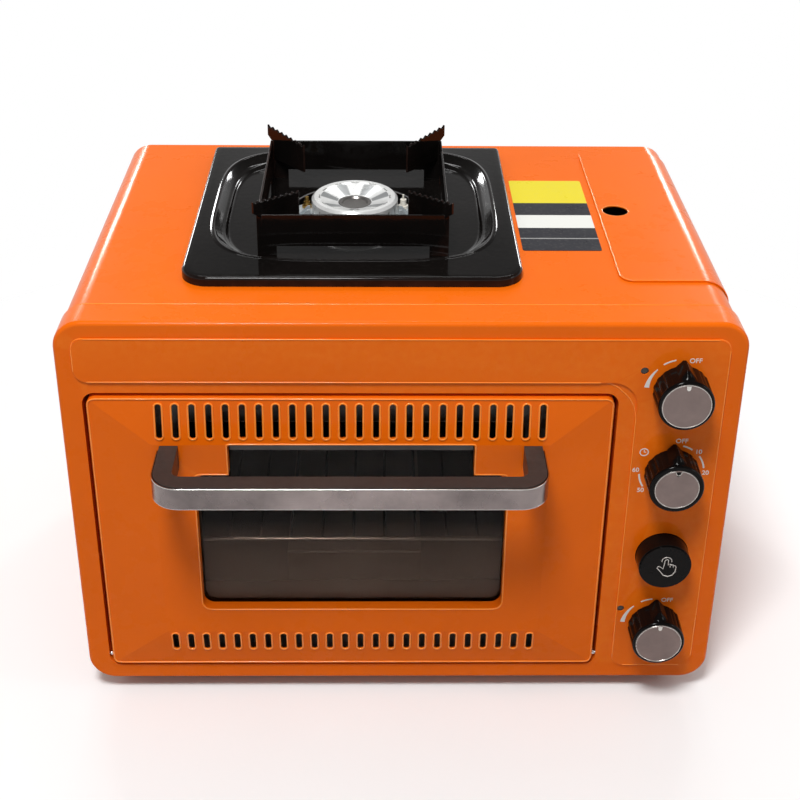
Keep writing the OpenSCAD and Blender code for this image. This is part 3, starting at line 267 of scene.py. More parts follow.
def make_spangle():
    """The leafy crystals of zinc-coated sheet."""
    tree, ins, out = effect("zinc spangle", "Color", Finish=GREY, Pale=GREY, Scale=160.0)
    cells = tree.nodes.new("ShaderNodeTexVoronoi")
    feed(tree, cells.inputs["Vector"], own_point(tree))
    feed(tree, cells.inputs["Scale"], ins["Scale"])
    leaf = coordinate(tree, cells.outputs["Color"], "X")
    feed(tree, out, mix(tree, leaf, ins["Finish"], ins["Pale"]))
    return tree


def make_fanned_reflections():
    """Painted facet reflections: wedges fanning from an upright axis, 0 and 1 by turns round it."""
    tree, ins, out = effect("fanned painted reflections", "Mask", Axis_X=0.0, Axis_Y=0.0, Count=12.0,
                            Inner=0.01, Outer=0.03)
    place = own_point(tree)
    x, y = (maths(tree, "SUBTRACT", coordinate(tree, place, axis), ins["Axis " + axis])
            for axis in "XY")
    wave = maths(tree, "SINE", product(tree, maths(tree, "ARCTAN2", y, x), ins["Count"]))
    square = maths(tree, "ADD", product(tree, x, x), product(tree, y, y))
    reach = maths(tree, "SQRT", square)
    feed(tree, out, product(tree, spread(tree, wave, *REFLECTION_LEVELS),
                            maths(tree, "GREATER_THAN", reach, ins["Inner"]),
                            maths(tree, "LESS_THAN", reach, ins["Outer"])))
    return tree


def make_fading_film():
    """A film that is thick up to one height, thins out above it and ends at another."""
    tree, ins, out = effect("fading film", "Mask", Thick_at=0.0, Gone_at=0.1, Amount=0.5)
    height = coordinate(tree, own_point(tree), "Z")
    climb = spread(tree, height, ins["Thick at"], ins["Gone at"], 1.0, 0.0)
    patchy = spread(tree, noise(tree, FILM_SCALE, detail=2.0), *FILM_LEVELS, LEAST_FILM, 1.0)
    feed(tree, out, product(tree, climb, patchy, ins["Amount"]))
    return tree


TONE_DRIFT, EDGE_WEAR_AND_SHEEN, DUST = make_tone_drift(), make_edge_wear_and_sheen(), make_dust()
SMUDGES, GRAIN, BRUSHING, SPANGLE = make_smudges(), make_grain(), make_brushing(), make_spangle()
FANNED_REFLECTIONS, FADING_FILM = make_fanned_reflections(), make_fading_film()

# Finishes
SMUDGE_SCALE, COAT_ROUGH = 26.0, 0.06
BELT_LINES = ((0.012, 1, 1), 2600.0, 0.02)  # stretch, scale and depth in mm


def use(material, group, **values):
    """Places an effect in a material, sets its inputs and gives its output."""
    node = material.node_tree.nodes.new("ShaderNodeGroup")
    node.node_tree = group
    for label, value in values.items():
        feed(material.node_tree, node.inputs[label.replace("_", " ")], value)
    return node.outputs[0]


def dress(material, **values):
    """Feeds the sockets of a material's shader."""
    shader = material.node_tree.nodes["Principled BSDF"]
    for label, value in values.items():
        feed(material.node_tree, shader.inputs[label.replace("_", " ")], value)


def bare_finish(name, **values):
    """A new material, with what is the same all over set on its shader."""
    material = bpy.data.materials.new(name)
    material.use_nodes = True
    dress(material, **values)
    return material


def add_relief(material, height, depth):
    """Gives a finish the relief of a height that is depth millimetres deep."""
    bump = material.node_tree.nodes.new("ShaderNodeBump")
    bump.inputs["Distance"].default_value = depth * MM
    feed(material.node_tree, bump.inputs["Height"], height)
    dress(material, Normal=bump.outputs[0])


def finish(name, shade, other, rough, drift=14.0, grain=(900.0, 0.02), metallic=0.0, coat=0.0,
           edge_tint=None, dust=0.0, brushed=None, spangle=None, specular=0.5):
    """A finish made of drifting shades, an edge tint, dust, smudges and a fine relief (depth in
    mm).
    """
    material = bare_finish(name, Metallic=metallic, Coat_Weight=coat, Coat_Roughness=COAT_ROUGH,
                           Specular_IOR_Level=specular)
    colour = use(material, TONE_DRIFT, Shade=shade, Other_shade=other, Scale=drift)
    if spangle:
        colour = use(material, SPANGLE, Finish=colour, Pale=spangle)
    if edge_tint:
        colour = use(material, EDGE_WEAR_AND_SHEEN, Finish=colour, Rubbed=edge_tint[0], Amount=edge_tint[1])
    if dust:
        colour = use(material, DUST, Finish=colour, Amount=dust)
    smudged = use(material, SMUDGES, Low=rough[0], High=rough[1], Scale=SMUDGE_SCALE)
    dress(material, Base_Color=colour, Roughness=smudged)
    if brushed:
        stretch, scale, depth = brushed
        add_relief(material, use(material, BRUSHING, Stretch=stretch, Scale=scale), depth)
    else:
        scale, depth = grain
        add_relief(material, use(material, GRAIN, Scale=scale), depth)
    return material


REFLECTION_COUNT, REFLECTION_REACH = 7.0, (13.5, 26.5)  # how many, and from and to what radius


def make_burner_ring():
    """Polished pressed metal, with darker wedges round the gas ring's axis: painted reflections."""
    material = finish("polished burner ring", srgb(240, 240, 238), srgb(226, 226, 225),
                      (0.2, 0.32), drift=60.0, grain=(1400.0, 0.02), metallic=0.4, dust=0.03)
    colour = material.node_tree.nodes["Principled BSDF"].inputs["Base Color"]
    axis = at(MID_X, RING_Y, 0)
    wedge_reflections = use(material, FANNED_REFLECTIONS, Axis_X=axis.x, Axis_Y=axis.y, Count=REFLECTION_COUNT,
                 Inner=REFLECTION_REACH[0] * MM, Outer=REFLECTION_REACH[1] * MM)
    dress(material, Base_Color=mix(material.node_tree, wedge_reflections, colour.links[0].from_socket,
                                   srgb(150, 152, 152)))
    return material


def make_glass():
    """Smoked tempered glass with faint wipe marks."""
    material = bare_finish("smoked tempered glass", Transmission_Weight=1.0, IOR=1.16)
    colour = use(material, TONE_DRIFT, Shade=srgb(196, 184, 176), Other_shade=srgb(188, 176, 168),
                 Scale=9.0)
    dress(material, Base_Color=colour,
          Roughness=use(material, SMUDGES, Low=0.0, High=0.003, Scale=18.0))
    return material


FILM_Z = (70.0, 142.0)  # where the film inside the glass is thickest, and where it ends
FILM_AMOUNT = 0.62


def make_reflection_film():
    """A pale film in the glass, thick at the bottom, fading upwards: a painted floor reflection."""
    material = finish("painted floor reflection in the glass", srgb(196, 186, 178), srgb(176, 166, 158),
                      (0.4, 0.55), grain=(900.0, 0.002), specular=0.05)
    thick, gone = (at(0, 0, z).z for z in FILM_Z)
    mask = use(material, FADING_FILM, Thick_at=thick, Gone_at=gone, Amount=FILM_AMOUNT)
    dress(material, Alpha=mask)
    return material


# Bands of the blank label, from its front edge to its back: where each starts (y), and its shade
LABEL_Y = (116.0, 250.0)
BAND_BLACK = srgb(38, 38, 44)
LABEL_BANDS = [(LABEL_Y[0], BAND_BLACK), (136.4, srgb(150, 150, 148)), (137.6, BAND_BLACK),
               (156.0, srgb(226, 226, 220)), (180.3, BAND_BLACK), (203.6, srgb(226, 208, 40))]


def make_label():
    """A printed film with plain bands of colour and nothing written on it."""
    material = bare_finish("banded label film", Coat_Weight=0.03, Specular_IOR_Level=0.12)
    tree = material.node_tree
    ramp = tree.nodes.new("ShaderNodeValToRGB")
    ramp.color_ramp.interpolation = "CONSTANT"
    front, back = (at(0, y, 0).y for y in LABEL_Y)
    depth = coordinate(tree, own_point(tree), "Y")
    feed(tree, ramp.inputs["Fac"], spread(tree, depth, front, back))
    marks = ramp.color_ramp.elements
    while len(marks) < len(LABEL_BANDS):
        marks.new(0.5)
    for mark, (start, shade) in zip(marks, LABEL_BANDS):
        mark.position = (start - LABEL_Y[0]) / (LABEL_Y[1] - LABEL_Y[0])
        mark.color = shade
    dress(material, Base_Color=use(material, DUST, Finish=ramp.outputs["Color"], Amount=0.12),
          Roughness=use(material, SMUDGES, Low=0.25, High=0.4, Scale=40.0))
    add_relief(material, use(material, GRAIN, Scale=500.0), 0.01)
    return material


# Each finish: its two shades, its roughness from and to, and what else its surface shows
FINISHES = {
    "orange_paint": finish("orange powder coat", srgb(238, 106, 7), srgb(232, 102, 6),
        (0.24, 0.34), drift=7.0, grain=(1500.0, 0.006), specular=0.06, coat=0.12,
        edge_tint=(srgb(244, 132, 40), 0.3), dust=0.02),
    # A lighter orange for rolled edges: a painted highlight along them
    "orange_highlight": finish("orange painted highlight on rolled edges", srgb(252, 142, 44), srgb(246, 132, 34),
        (0.2, 0.3), drift=30.0, grain=(1500.0, 0.004), specular=0.3, coat=0.3),
    # Its red-brown edge tint is a painted reflection of the orange case
    "black_enamel": finish("black vitreous enamel", srgb(12, 10, 9), srgb(18, 15, 14),
        (0.05, 0.12), drift=22.0, grain=(210.0, 0.05), specular=0.16,
        edge_tint=(srgb(66, 40, 32), 0.5), dust=0.012),
    "galvanised": finish("zinc-coated sheet", srgb(146, 149, 150), srgb(126, 129, 131),
        (0.32, 0.5), spangle=srgb(176, 179, 180), metallic=0.85, grain=(600.0, 0.02), dust=0.1),
    "dark_steel": finish("baked oven liner", srgb(40, 34, 30), srgb(27, 22, 20), (0.4, 0.6),
        drift=16.0, metallic=0.3, grain=(800.0, 0.03), specular=0.3, dust=0.12),
    "dark_inside": finish("sooty baffle steel", srgb(118, 107, 97), srgb(82, 73, 66),
        (0.35, 0.55), metallic=0.2, grain=(700.0, 0.03)),
    "chrome_wire": finish("bright plated wire", srgb(206, 206, 204), srgb(176, 174, 170),
        (0.1, 0.24), drift=40.0, metallic=1.0, grain=(500.0, 0.01)),
    # On both brushed steels, the broad cloudy patches from a light to a much darker shade are
    # painted reflections
    "bright_steel": finish("brushed steel", srgb(152, 148, 145), srgb(104, 100, 98),
        (0.24, 0.36), drift=9.0, metallic=1.0, brushed=BELT_LINES),
    "facing_steel": finish("smoked brushed facing with painted reflections", srgb(146, 135, 133), srgb(86, 80, 80),
        (0.2, 0.32), drift=10.0, metallic=1.0, brushed=BELT_LINES),
    "pin_steel": finish("plated pins", srgb(206, 204, 200), srgb(182, 180, 176),
        (0.16, 0.28), metallic=1.0, grain=(900.0, 0.012)),
    "pale_plating": finish("pale zinc plating", srgb(206, 212, 214), srgb(170, 178, 182),
        (0.2, 0.34), drift=40.0, metallic=0.35, grain=(700.0, 0.02)),
    "bar_grey": finish("dark glossy bar", srgb(72, 68, 66), srgb(54, 50, 49),
        (0.16, 0.28), drift=30.0, grain=(900.0, 0.01), metallic=0.5),
    "cast_aluminium": finish("fine cast aluminium", srgb(234, 234, 232), srgb(214, 214, 213),
        (0.28, 0.42), drift=60.0, metallic=0.55, grain=(1400.0, 0.03), dust=0.05),
    "burner_white": make_burner_ring(),
    "valve_metal": finish("die-cast zinc", srgb(178, 172, 156), srgb(160, 153, 138),
        (0.3, 0.46), metallic=0.9, grain=(1200.0, 0.03)),
    "brass": finish("turned brass", srgb(196, 160, 88), srgb(178, 140, 72), (0.22, 0.36),
        metallic=1.0, grain=(700.0, 0.015)),
    "ceramic": finish("glazed ceramic", srgb(238, 234, 224), srgb(228, 222, 208), (0.12, 0.2),
        coat=0.4, grain=(300.0, 0.01)),
    "rubber": finish("moulded rubber", srgb(28, 28, 29), srgb(36, 35, 35), (0.6, 0.8),
        grain=(2600.0, 0.04), specular=0.3, dust=0.15),
    "dark_plastic": finish("satin grey handle coat", srgb(54, 49, 47), srgb(44, 40, 38),
        (0.34, 0.44), grain=(2400.0, 0.02), specular=0.25, edge_tint=(srgb(104, 98, 94), 0.4)),
    "gloss_black": finish("gloss black moulding", srgb(10, 8, 8), srgb(16, 13, 12),
        (0.09, 0.16), drift=40.0, grain=(260.0, 0.012), specular=0.09),
    "timer_plastic": finish("pale moulded plastic", srgb(214, 212, 204), srgb(204, 201, 192),
        (0.42, 0.55), grain=(1800.0, 0.02)),
    "insert_metal": finish("tinted brushed dial plate", srgb(128, 112, 108),
        srgb(114, 100, 96), (0.34, 0.44), drift=50.0, metallic=0.75,
        brushed=((0.02, 1, 1), 4200.0, 0.008)),
    "silver_rim": finish("bright dial rim", srgb(206, 200, 194), srgb(188, 182, 176),
        (0.2, 0.3), metallic=0.7, grain=(1500.0, 0.006)),
    "white_print": finish("white printed marks", srgb(236, 232, 226), srgb(226, 220, 212),
        (0.4, 0.5), grain=(2400.0, 0.004)),
    "window_glass": make_glass(),
    "glass_reflection_film": make_reflection_film(),
    "label": make_label(),
}


# CAD nodes: how round their edges are (mm), over what angle they stay sharp, and their finishes
PLAIN_EDGE, SHARP_OVER = 0.2, 25.0
SOFT_EDGE = {"front_panel": 0.8, "body_shell": 0.35, "door_outer": 0.6, "cartridge_lid": 0.4,
             "safety_button": 1.2, "pot_support": 0.5, "burner_head": 0.35, "door_handle": 0.5,
             "handle_facing": 0.35, "burner_cup": 0.4}
SHARPER_OVER = {"door_outer": 5.5}
OTHER_FINISH = {"heat_baffle": "dark_inside", "glass_frame": "dark_inside",
                "door_hinge_pins": "pin_steel", "door_side_screws": "pin_steel",
                "lid_hinge_pins": "pin_steel", "burner_head": "burner_white",
                "handle_facing": "facing_steel", "burner_bracket": "pale_plating",
                # The valve screws take the dark grey of the bar: painted shade of the recessed
                # holes they sit in
                "valve_screws": "bar_grey"}
SLOT_OF = {part["node"]: part["material_slot"] for part in frame["record"]["subparts"]}
JOIN_WITHIN = 0.01  # points closer than this become one, in mm
BEVEL_STEPS, BEVEL_OVER = 2, radians(38)
FLATS_FIRST = 100  # how much more the flat faces weigh in the shading


def make_shading():
    """Geometry nodes that shade a mesh smooth, and sharp across edges over an angle."""
    tree = bpy.data.node_groups.new("smooth with sharp edges", "GeometryNodeTree")
    tree.interface.new_socket("Mesh", in_out="INPUT", socket_type="NodeSocketGeometry")
    angle = tree.interface.new_socket("Angle", in_out="INPUT", socket_type="NodeSocketFloat")
    tree.interface.new_socket("Mesh", in_out="OUTPUT", socket_type="NodeSocketGeometry")
    nodes, link = tree.nodes, tree.links.new
    ins, outs = nodes.new("NodeGroupInput"), nodes.new("NodeGroupOutput")
    smooth, sharp = (nodes.new("GeometryNodeSetShadeSmooth") for _ in range(2))
    sharp.domain = "EDGE"
    sharp.inputs["Shade Smooth"].default_value = False
    over = nodes.new("FunctionNodeCompare")
    over.operation = "GREATER_THAN"
    link(nodes.new("GeometryNodeInputMeshEdgeAngle").outputs["Unsigned Angle"], over.inputs[0])
    link(ins.outputs["Angle"], over.inputs[1])
    link(ins.outputs["Mesh"], smooth.inputs[0])
    link(smooth.outputs[0], sharp.inputs[0])
    link(over.outputs[0], sharp.inputs["Selection"])
    link(sharp.outputs[0], outs.inputs[0])
    return tree, angle.identifier


SHADING, SHADING_ANGLE = make_shading()


def soften(obj, width, degrees):
    """Joins a solid's faces, keeps its flats flat and rounds its sharp edges, as modifiers."""
    weld = obj.modifiers.new("join faces", "WELD")
    weld.merge_threshold = JOIN_WITHIN * MM
    shading = obj.modifiers.new("shading", "NODES")
    shading.node_group = SHADING
    shading[SHADING_ANGLE] = radians(degrees)
    if width:
        bevel = obj.modifiers.new("soft edges", "BEVEL")
        bevel.width = width * MM
        bevel.segments = BEVEL_STEPS
        bevel.limit_method = "ANGLE"
        bevel.angle_limit = BEVEL_OVER
    flats = obj.modifiers.new("flat faces", "WEIGHTED_NORMAL")
    flats.weight = FLATS_FIRST
    flats.keep_sharp = True


for name, node in frame["nodes"].items():
    node.data.materials.clear()
    node.data.materials.append(FINISHES[OTHER_FINISH.get(name, SLOT_OF[name])])
    soften(node, SOFT_EDGE.get(name, PLAIN_EDGE), SHARPER_OVER.get(name, SHARP_OVER))

# Mesh helpers
BEAD_SHARP_OVER = 70.0  # so that a round bead is shaded smooth all round
QUARTER = [radians(a) for a in range(0, 91, 6)]


class Shape:
    """Points and faces gathered from several lofts into one piece."""

    def __init__(self):
        self.verts, self.faces = [], []

    def loft(self, loops, capped=False):
        """Skins closed loops of equal count one after another, with both ends shut if capped."""
        count, start = len(loops[0]), len(self.verts)
        for loop in loops:
            self.verts.extend(loop)
        end = start + (len(loops) - 1) * count
        for a in range(start, end, count):
            b = a + count
            for i in range(count):
                j = (i + 1) % count
                self.faces.append((a + i, a + j, b + j, b + i))
        if capped:
            self.faces.append(tuple(range(start + count - 1, start - 1, -1)))
            self.faces.append(tuple(range(end, end + count)))
        return self

    def tube(self, path, radius, sides=6, closed=True, up=FORWARD):
        """A round bead of a radius in millimetres along a path of points in metres."""
        loops, count = [], len(path)
        for i, point in enumerate(path):
            before = path[i - 1] if closed or i else point
            after = path[(i + 1) % count] if closed or i < count - 1 else point
            ahead = (after - before).normalized()
            side = ahead.cross(up).normalized()
            over = side.cross(ahead)
            loops.append([point + radius * MM * (cos(t) * side + sin(t) * over)
                          for t in circle(sides)])
        return self.loft(loops + loops[:1] if closed else loops, capped=not closed)

    def make(self, name, look, body, slot, edge=0.0, degrees=32.0):
        """The finished piece, shaded and riding on its body."""
        mesh = bpy.data.meshes.new(name)
        mesh.from_pydata([tuple(v) for v in self.verts], [], self.faces)
        mesh.validate()
        mesh.materials.append(FINISHES[look])
        obj = put(name, mesh)
        soften(obj, edge, degrees)
        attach(obj, body)
        return obj


def rolled_edge(name, body, paths, radius, look="orange_highlight", slot="orange_paint", **form):
    """Round beads along one or more paths: a rolled or polished edge with a painted highlight."""
    shape = Shape()
    for path in paths:
        shape.tube(path, radius, **form)
    shape.make(name, look, body, slot, degrees=BEAD_SHARP_OVER)


def mirrored(half):
    """The right half of a line with its left half in front of it."""
    return [(-across, other) for across, other in half[::-1]] + half


def surface_of(name):
    """A search tree of a CAD node's faces, to lay marks on it."""
    mesh = frame["nodes"][name].data
    return BVHTree.FromPolygons([v.co for v in mesh.vertices],
                                [tuple(p.vertices) for p in mesh.polygons])


PANEL, DOOR = surface_of("front_panel"), surface_of("door_outer")
WELL_IN_FRONT, STILL_FRONT = -40.0, 4.0  # where a search starts, and where it ends (y)


def on_front(tree, x, z, lift):
    """The point of a front surface at x and z, raised by lift millimetres towards the viewer."""
    hit = tree.ray_cast(at(x, WELL_IN_FRONT, z), BACKWARD)[0]
    on_surface = hit and hit.y < at(0, STILL_FRONT, 0).y
    return (hit if on_surface else at(x, 0, z)) - Vector((0, lift * MM, 0))


def rounded_path(corners, step=3.0):
    """Points along a closed outline of (x, z, radius) corners, rounding each of them."""
    path, count, bend = [], len(corners), 6
    for i, (x, z, r) in enumerate(corners):
        ends = []
        for other in (corners[i - 1], corners[(i + 1) % count]):
            run = hypot(other[0] - x, other[1] - z)
            ends.append((x + (other[0] - x) * r / run, z + (other[1] - z) * r / run))
        for t in (k / bend for k in range(bend + 1)):
            path.append(((1 - t) ** 2 * ends[0][0] + 2 * t * (1 - t) * x + t * t * ends[1][0],
                         (1 - t) ** 2 * ends[0][1] + 2 * t * (1 - t) * z + t * t * ends[1][1]))
    full = []
    for i, (x, z) in enumerate(path):
        nx, nz = path[(i + 1) % len(path)]
        parts = max(1, int(hypot(nx - x, nz - z) / step))
        full += [(x + (nx - x) * k / parts, z + (nz - z) * k / parts) for k in range(parts)]
    return full


# Drip pan
PAN_Y = (55.75, 308.25)
PAN_HALF_X = 121.5
PAN_CORNERS = (20.0, 4.0)  # radius of the front and of the back corners
PAN_FOOT, PAN_TOP, PAN_FLOOR = 307.8, 314.8, 306.8
WELL_Y, WELL_HALF, WELL_SLOPE, WELL_POWER = 191.5, 106.5, 10.5, 4.0
HOLE_R = 50.0
PAN_POINTS = 480
SMALLEST_CORNER = 1.0

# The pan's section from its foot to the hole and back underneath. The rim and the well give how
# far in from their outlines, the hole its radius, and each then its height
RIM_ABOVE = [(0.0, PAN_FOOT), (0.0, PAN_TOP - 2.4), (0.35, PAN_TOP - 1.3), (1.1, PAN_TOP - 0.4),
             (2.3, PAN_TOP), (6.0, PAN_TOP)]
WELL_ABOVE = [(-3.4, PAN_TOP), (-2.6, PAN_TOP + 0.25), (-1.7, PAN_TOP + 0.7), (-0.8, PAN_TOP + 0.8),
              (0.1, PAN_TOP + 0.45), (0.8, PAN_TOP - 0.2), (1.9, PAN_TOP - 1.4),
              (5.2, PAN_FLOOR + 4.1), (6.6, PAN_FLOOR + 3.4), (7.6, PAN_FLOOR + 3.3),
              (8.5, PAN_FLOOR + 2.6), (9.3, PAN_FLOOR + 1.3), (10.1, PAN_FLOOR + 0.4),
              (WELL_SLOPE + 1.5, PAN_FLOOR)]
HOLE_SECTION = [(HOLE_R + 9, PAN_FLOOR), (HOLE_R + 4, PAN_FLOOR + 0.3),
                (HOLE_R + 1.6, PAN_FLOOR + 1.6), (HOLE_R + 0.9, PAN_FLOOR + 2.5),
                (HOLE_R, PAN_FLOOR + 2.9), (HOLE_R, PAN_FLOOR + 1.9),
                (HOLE_R + 3.2, PAN_FLOOR - 0.6)]
WELL_BELOW = [(WELL_SLOPE + 1.8, PAN_FLOOR - 0.9), (5.4, PAN_FLOOR + 2.6), (1.4, PAN_TOP - 2.4)]
RIM_BELOW = [(2.2, PAN_TOP - 1.1), (1.0, PAN_TOP - 2.6), (1.0, PAN_FOOT)]


def square_r(angle, half_x, half_y, corners):
    """How far a rectangle reaches at an angle, with its own corner radii in front and behind."""
    corner = corners[0] if sin(angle) < 0 else corners[1]
    c, s, least = abs(cos(angle)), abs(sin(angle)), 1e-9
    in_x, in_y = half_x - corner, half_y - corner
    if c > least and s / c * half_x <= in_y:
        return half_x / c
    if s > least and c / s * half_y <= in_x:
        return half_y / s
    along = c * in_x + s * in_y
    return along + (max(along * along - in_x ** 2 - in_y ** 2 + corner ** 2, 0)) ** 0.5


def bowed_r(angle, half):
    """How far the well reaches: a square with bowed sides and wide corners."""
    c, s = abs(cos(angle)), abs(sin(angle))
    return half / (c ** WELL_POWER + s ** WELL_POWER) ** (1 / WELL_POWER)


def build_pan():
    """The enamelled drip pan: rolled skirt, flat rim, bowed well and a raised lip at the hole."""
    mid_y = sum(PAN_Y) / 2
    half_y = (PAN_Y[1] - PAN_Y[0]) / 2
    turns = circle(PAN_POINTS)

    def round_about(y, z, reach):
        return [at(MID_X + reach(t) * cos(t), y + reach(t) * sin(t), z) for t in turns]

    def rim(inset, z):
        corners = [max(r - inset, SMALLEST_CORNER) for r in PAN_CORNERS]
        return round_about(mid_y, z, lambda t: square_r(t, PAN_HALF_X - inset, half_y - inset,
                                                        corners))

    def well(inset, z):
        return round_about(WELL_Y, z, lambda t: bowed_r(t, WELL_HALF - inset))

    def hole(radius, z):
        return round_about(RING_Y, z, lambda t: radius)

    loops = [form(*step) for form, section in ((rim, RIM_ABOVE), (well, WELL_ABOVE),
             (hole, HOLE_SECTION), (well, WELL_BELOW), (rim, RIM_BELOW)) for step in section]
    shape = Shape().loft(loops + loops[:1])
    pan = shape.make("drip_pan_enamel", "black_enamel", "pan", "black_enamel", degrees=50)
    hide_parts("drip_pan")


build_pan()

# Knobs and dials, with depths forward from a knob's back
KNOB_BACK, KNOB_LONG, KNOB_R, POINTER_R = -1.8, 21.2, 19.5, 24.0
KNOB_POINTS, KNOB_TAPER, STEM_R, PLATE_GAP = 360, 0.3, 4.2, 0.25
RIB_EVERY, RIB_DEEP = 20, 1.0  # degrees from rib to rib, and their depth
RIBS_FROM, RIBS_BLEND = radians(31), radians(6)  # where the ribs start beside the pointer
RIBS_END, RIBS_RUNOUT = 19.2, 0.8  # how far forward the ribs run, and fade out
POINTER_HALF, POINTER_END, POINTER_RUNOUT = radians(60), 19.3, 4.5
FLANK_ACROSS, FLANK_UP, FLANK = 8, 7, 176  # the pointer's straight flank, as 8x + 7y = 176
KNOB_HEEL = [(STEM_R, 0.2), (KNOB_R - 1.6, 0.2), (KNOB_R - 0.6, 0.0)]  # radius, depth
KNOB_SIDE = (0.4, 4, 8, 12, 14.8, 16, 17.2, 18.4, 19.2, 19.6)  # depth
KNOB_CHAMFER = [(19.05, 20.1), (18.6, 20.75), (18.1, 21.1)]  # radius, depth
KNOB_DISH = [(0.5, KNOB_LONG), (0.1, 21.0), (0.0, 20.6), (0.0, 19.1)]  # past the dish, depth
DISH_DEPTH = KNOB_DISH[-1][1]
LINE_INSET, LINE_R, LINE_SUNK = 0.45, 0.36, 0.2  # the bright line round a dial plate
MARK = [(-1.5, -1.2), (-1.3, -3.6), (-0.7, -4.7), (0.7, -4.7), (1.3, -3.6), (1.5, -1.2)]
MARK_THICK = 0.5

# Each control's dial plate: its radius, the notch in it (half width, depth) and its mark's finish
DIALS = (("stove", 17.0, (1.0, 0.0), "white_print"), ("oven", 17.0, (1.0, 0.0), "white_print"),
         ("timer", 15.7, (2.3, 3.4), "gloss_black"))


def on_dial(z, r, turn, depth):
    """A point of a dial: turn in radians from the right, depth forward from the knob's back."""
    return at(CONTROL_X + r * cos(turn), KNOB_BACK - depth, z + r * sin(turn))


def lean_of(turn):
    """How far a turn leans from straight up, in radians."""
    return abs(atan2(cos(turn), sin(turn)))


def share(x):
    """A value held between 0 and 1."""
    return max(0.0, min(1.0, x))


def knob_reach(turn, depth):
    """How far the ribbed side of a knob reaches, with its pointer at the top."""
    lean = lean_of(turn)
    full = KNOB_R - KNOB_TAPER * depth / KNOB_LONG
    wave = 0.5 - 0.5 * cos(lean * 360 / RIB_EVERY)
    ribbed = share((lean - RIBS_FROM) / RIBS_BLEND) * share((RIBS_END - depth) / RIBS_RUNOUT)
    reach = full - RIB_DEEP * ribbed * wave ** 2
    if lean < POINTER_HALF:
        flank = FLANK / (FLANK_ACROSS * sin(lean) + FLANK_UP * cos(lean))
        tip = min(POINTER_R / cos(lean), flank)
        reach = max(reach, full + (tip - full) * share((POINTER_END - depth) / POINTER_RUNOUT))
    return reach


def build_knob(control, plate_r):
    """A ribbed gloss knob with a chamfered rim, open at the back round its stem."""
    z, recess = DIAL_Z[control], plate_r + PLATE_GAP
    turns = circle(KNOB_POINTS)

    def ring(r, depth):
        return [on_dial(z, r, t, depth) for t in turns]

    loops = [ring(*step) for step in KNOB_HEEL]
    loops += [[on_dial(z, knob_reach(t, depth), t, depth) for t in turns] for depth in KNOB_SIDE]
    loops += [ring(*step) for step in KNOB_CHAMFER]
    loops += [ring(recess + past, depth) for past, depth in KNOB_DISH]
    loops.append(ring(STEM_R, DISH_DEPTH))
    shape = Shape().loft(loops + loops[:1])
    knob = shape.make(control + "_knob_ribbed", "gloss_black", control + "_control", "gloss_black",
                      degrees=40)
    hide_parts(control + "_knob")


def build_dial_rim(control, plate_r, notch_w, notch_deep):
    """The bright line round a dial plate, with its notch at the top."""
    path, line_r = [], plate_r - LINE_INSET
    for turn in (pi / 2 + t for t in circle(KNOB_POINTS)):
        across = line_r * sin(lean_of(turn)) / notch_w
        in_notch = lean_of(turn) < pi / 2 and across < 1
        dip = notch_deep * (1 - across ** 2) ** 0.5 if in_notch else 0.0
        path.append(on_dial(DIAL_Z[control], line_r - dip, turn, KNOB_LONG - LINE_SUNK))
    shape = Shape().tube(path, LINE_R)
    shape.make(control + "_dial_rim", "silver_rim", control + "_control", "insert_metal")


def build_pointer_mark(control, plate_r, look):
    """The mark at the top of a dial plate that shows where the knob points."""
    loops = [[at(CONTROL_X + x, KNOB_BACK - depth, DIAL_Z[control] + (plate_r + up))
              for x, up in MARK] for depth in (KNOB_LONG - MARK_THICK, KNOB_LONG)]
    shape = Shape().loft(loops, capped=True)
    shape.make(control + "_dial_mark", look, control + "_control", "insert_metal", edge=0.08)


for control, plate_r, notch, look in DIALS:
    build_knob(control, plate_r)
    build_dial_rim(control, plate_r, *notch)
    build_pointer_mark(control, plate_r, look)

# Printed marks: arcs in degrees clockwise from the top, and lettering from the dial's middle
INK_SECTION = ((-1, -0.1), (-1, 0.12), (1, 0.12), (1, -0.1))  # side, and mm proud of the panel
THIN_ARCS = (("stove", (-34, -13), (-47, -85)), ("oven", (-28, -7), (-43, -84)))
THIN_R, THIN_W, WEDGE_R, WEDGE_W, WEDGE_GROWS = 24.2, 1.0, 23.8, 0.8, 2.6
TIMER_ARCS, TIMER_R, TIMER_W = ((16, 35), (54, 81), (-94, -122)), 22.8, 1.2
CLOCK_AT, CLOCK_R, CLOCK_LINE, HAND_LINE = (-20.7, 16.8), 2.9, 0.7, 0.6
LONG_HAND, SHORT_HAND = (0, 1.9), (1.4, 0)
NUMBERS = (("10", 17.6, 17.0), ("20", 24.2, -0.6), ("50", -20.6, -15.4), ("60", -25.4, 1.8))
OFF_WORDS = (("stove", 8.0, 23.0), ("oven", 8.0, 23.0), ("timer", 5.0, 26.0))
LETTER_H, LETTER_THICK, LETTER_BOLD, LETTER_LIFT = 5.0, 0.06, 0.05, 0.04


def strip(shape, path, width, grows=0.0):
    """A flat printed line on the front panel along a path of (x, z), widening evenly."""
    loops = []
    for i, (x, z) in enumerate(path):
        before, after = path[max(i - 1, 0)], path[min(i + 1, len(path) - 1)]
        run = hypot(after[0] - before[0], after[1] - before[1])
        nx, nz = -(after[1] - before[1]) / run, (after[0] - before[0]) / run
        half = (width + grows * i / (len(path) - 1)) / 2
        loops.append([on_front(PANEL, x + side * nx * half, z + side * nz * half, lift)
                      for side, lift in INK_SECTION])
    shape.loft(loops, capped=True)


def arc_path(x, z, r, start, end, count=14):
    """Points on a circle round (x, z), in degrees clockwise from the top."""
    turns = [radians(start + (end - start) * i / (count - 1)) for i in range(count)]
    return [(x + r * sin(t), z + r * cos(t)) for t in turns]


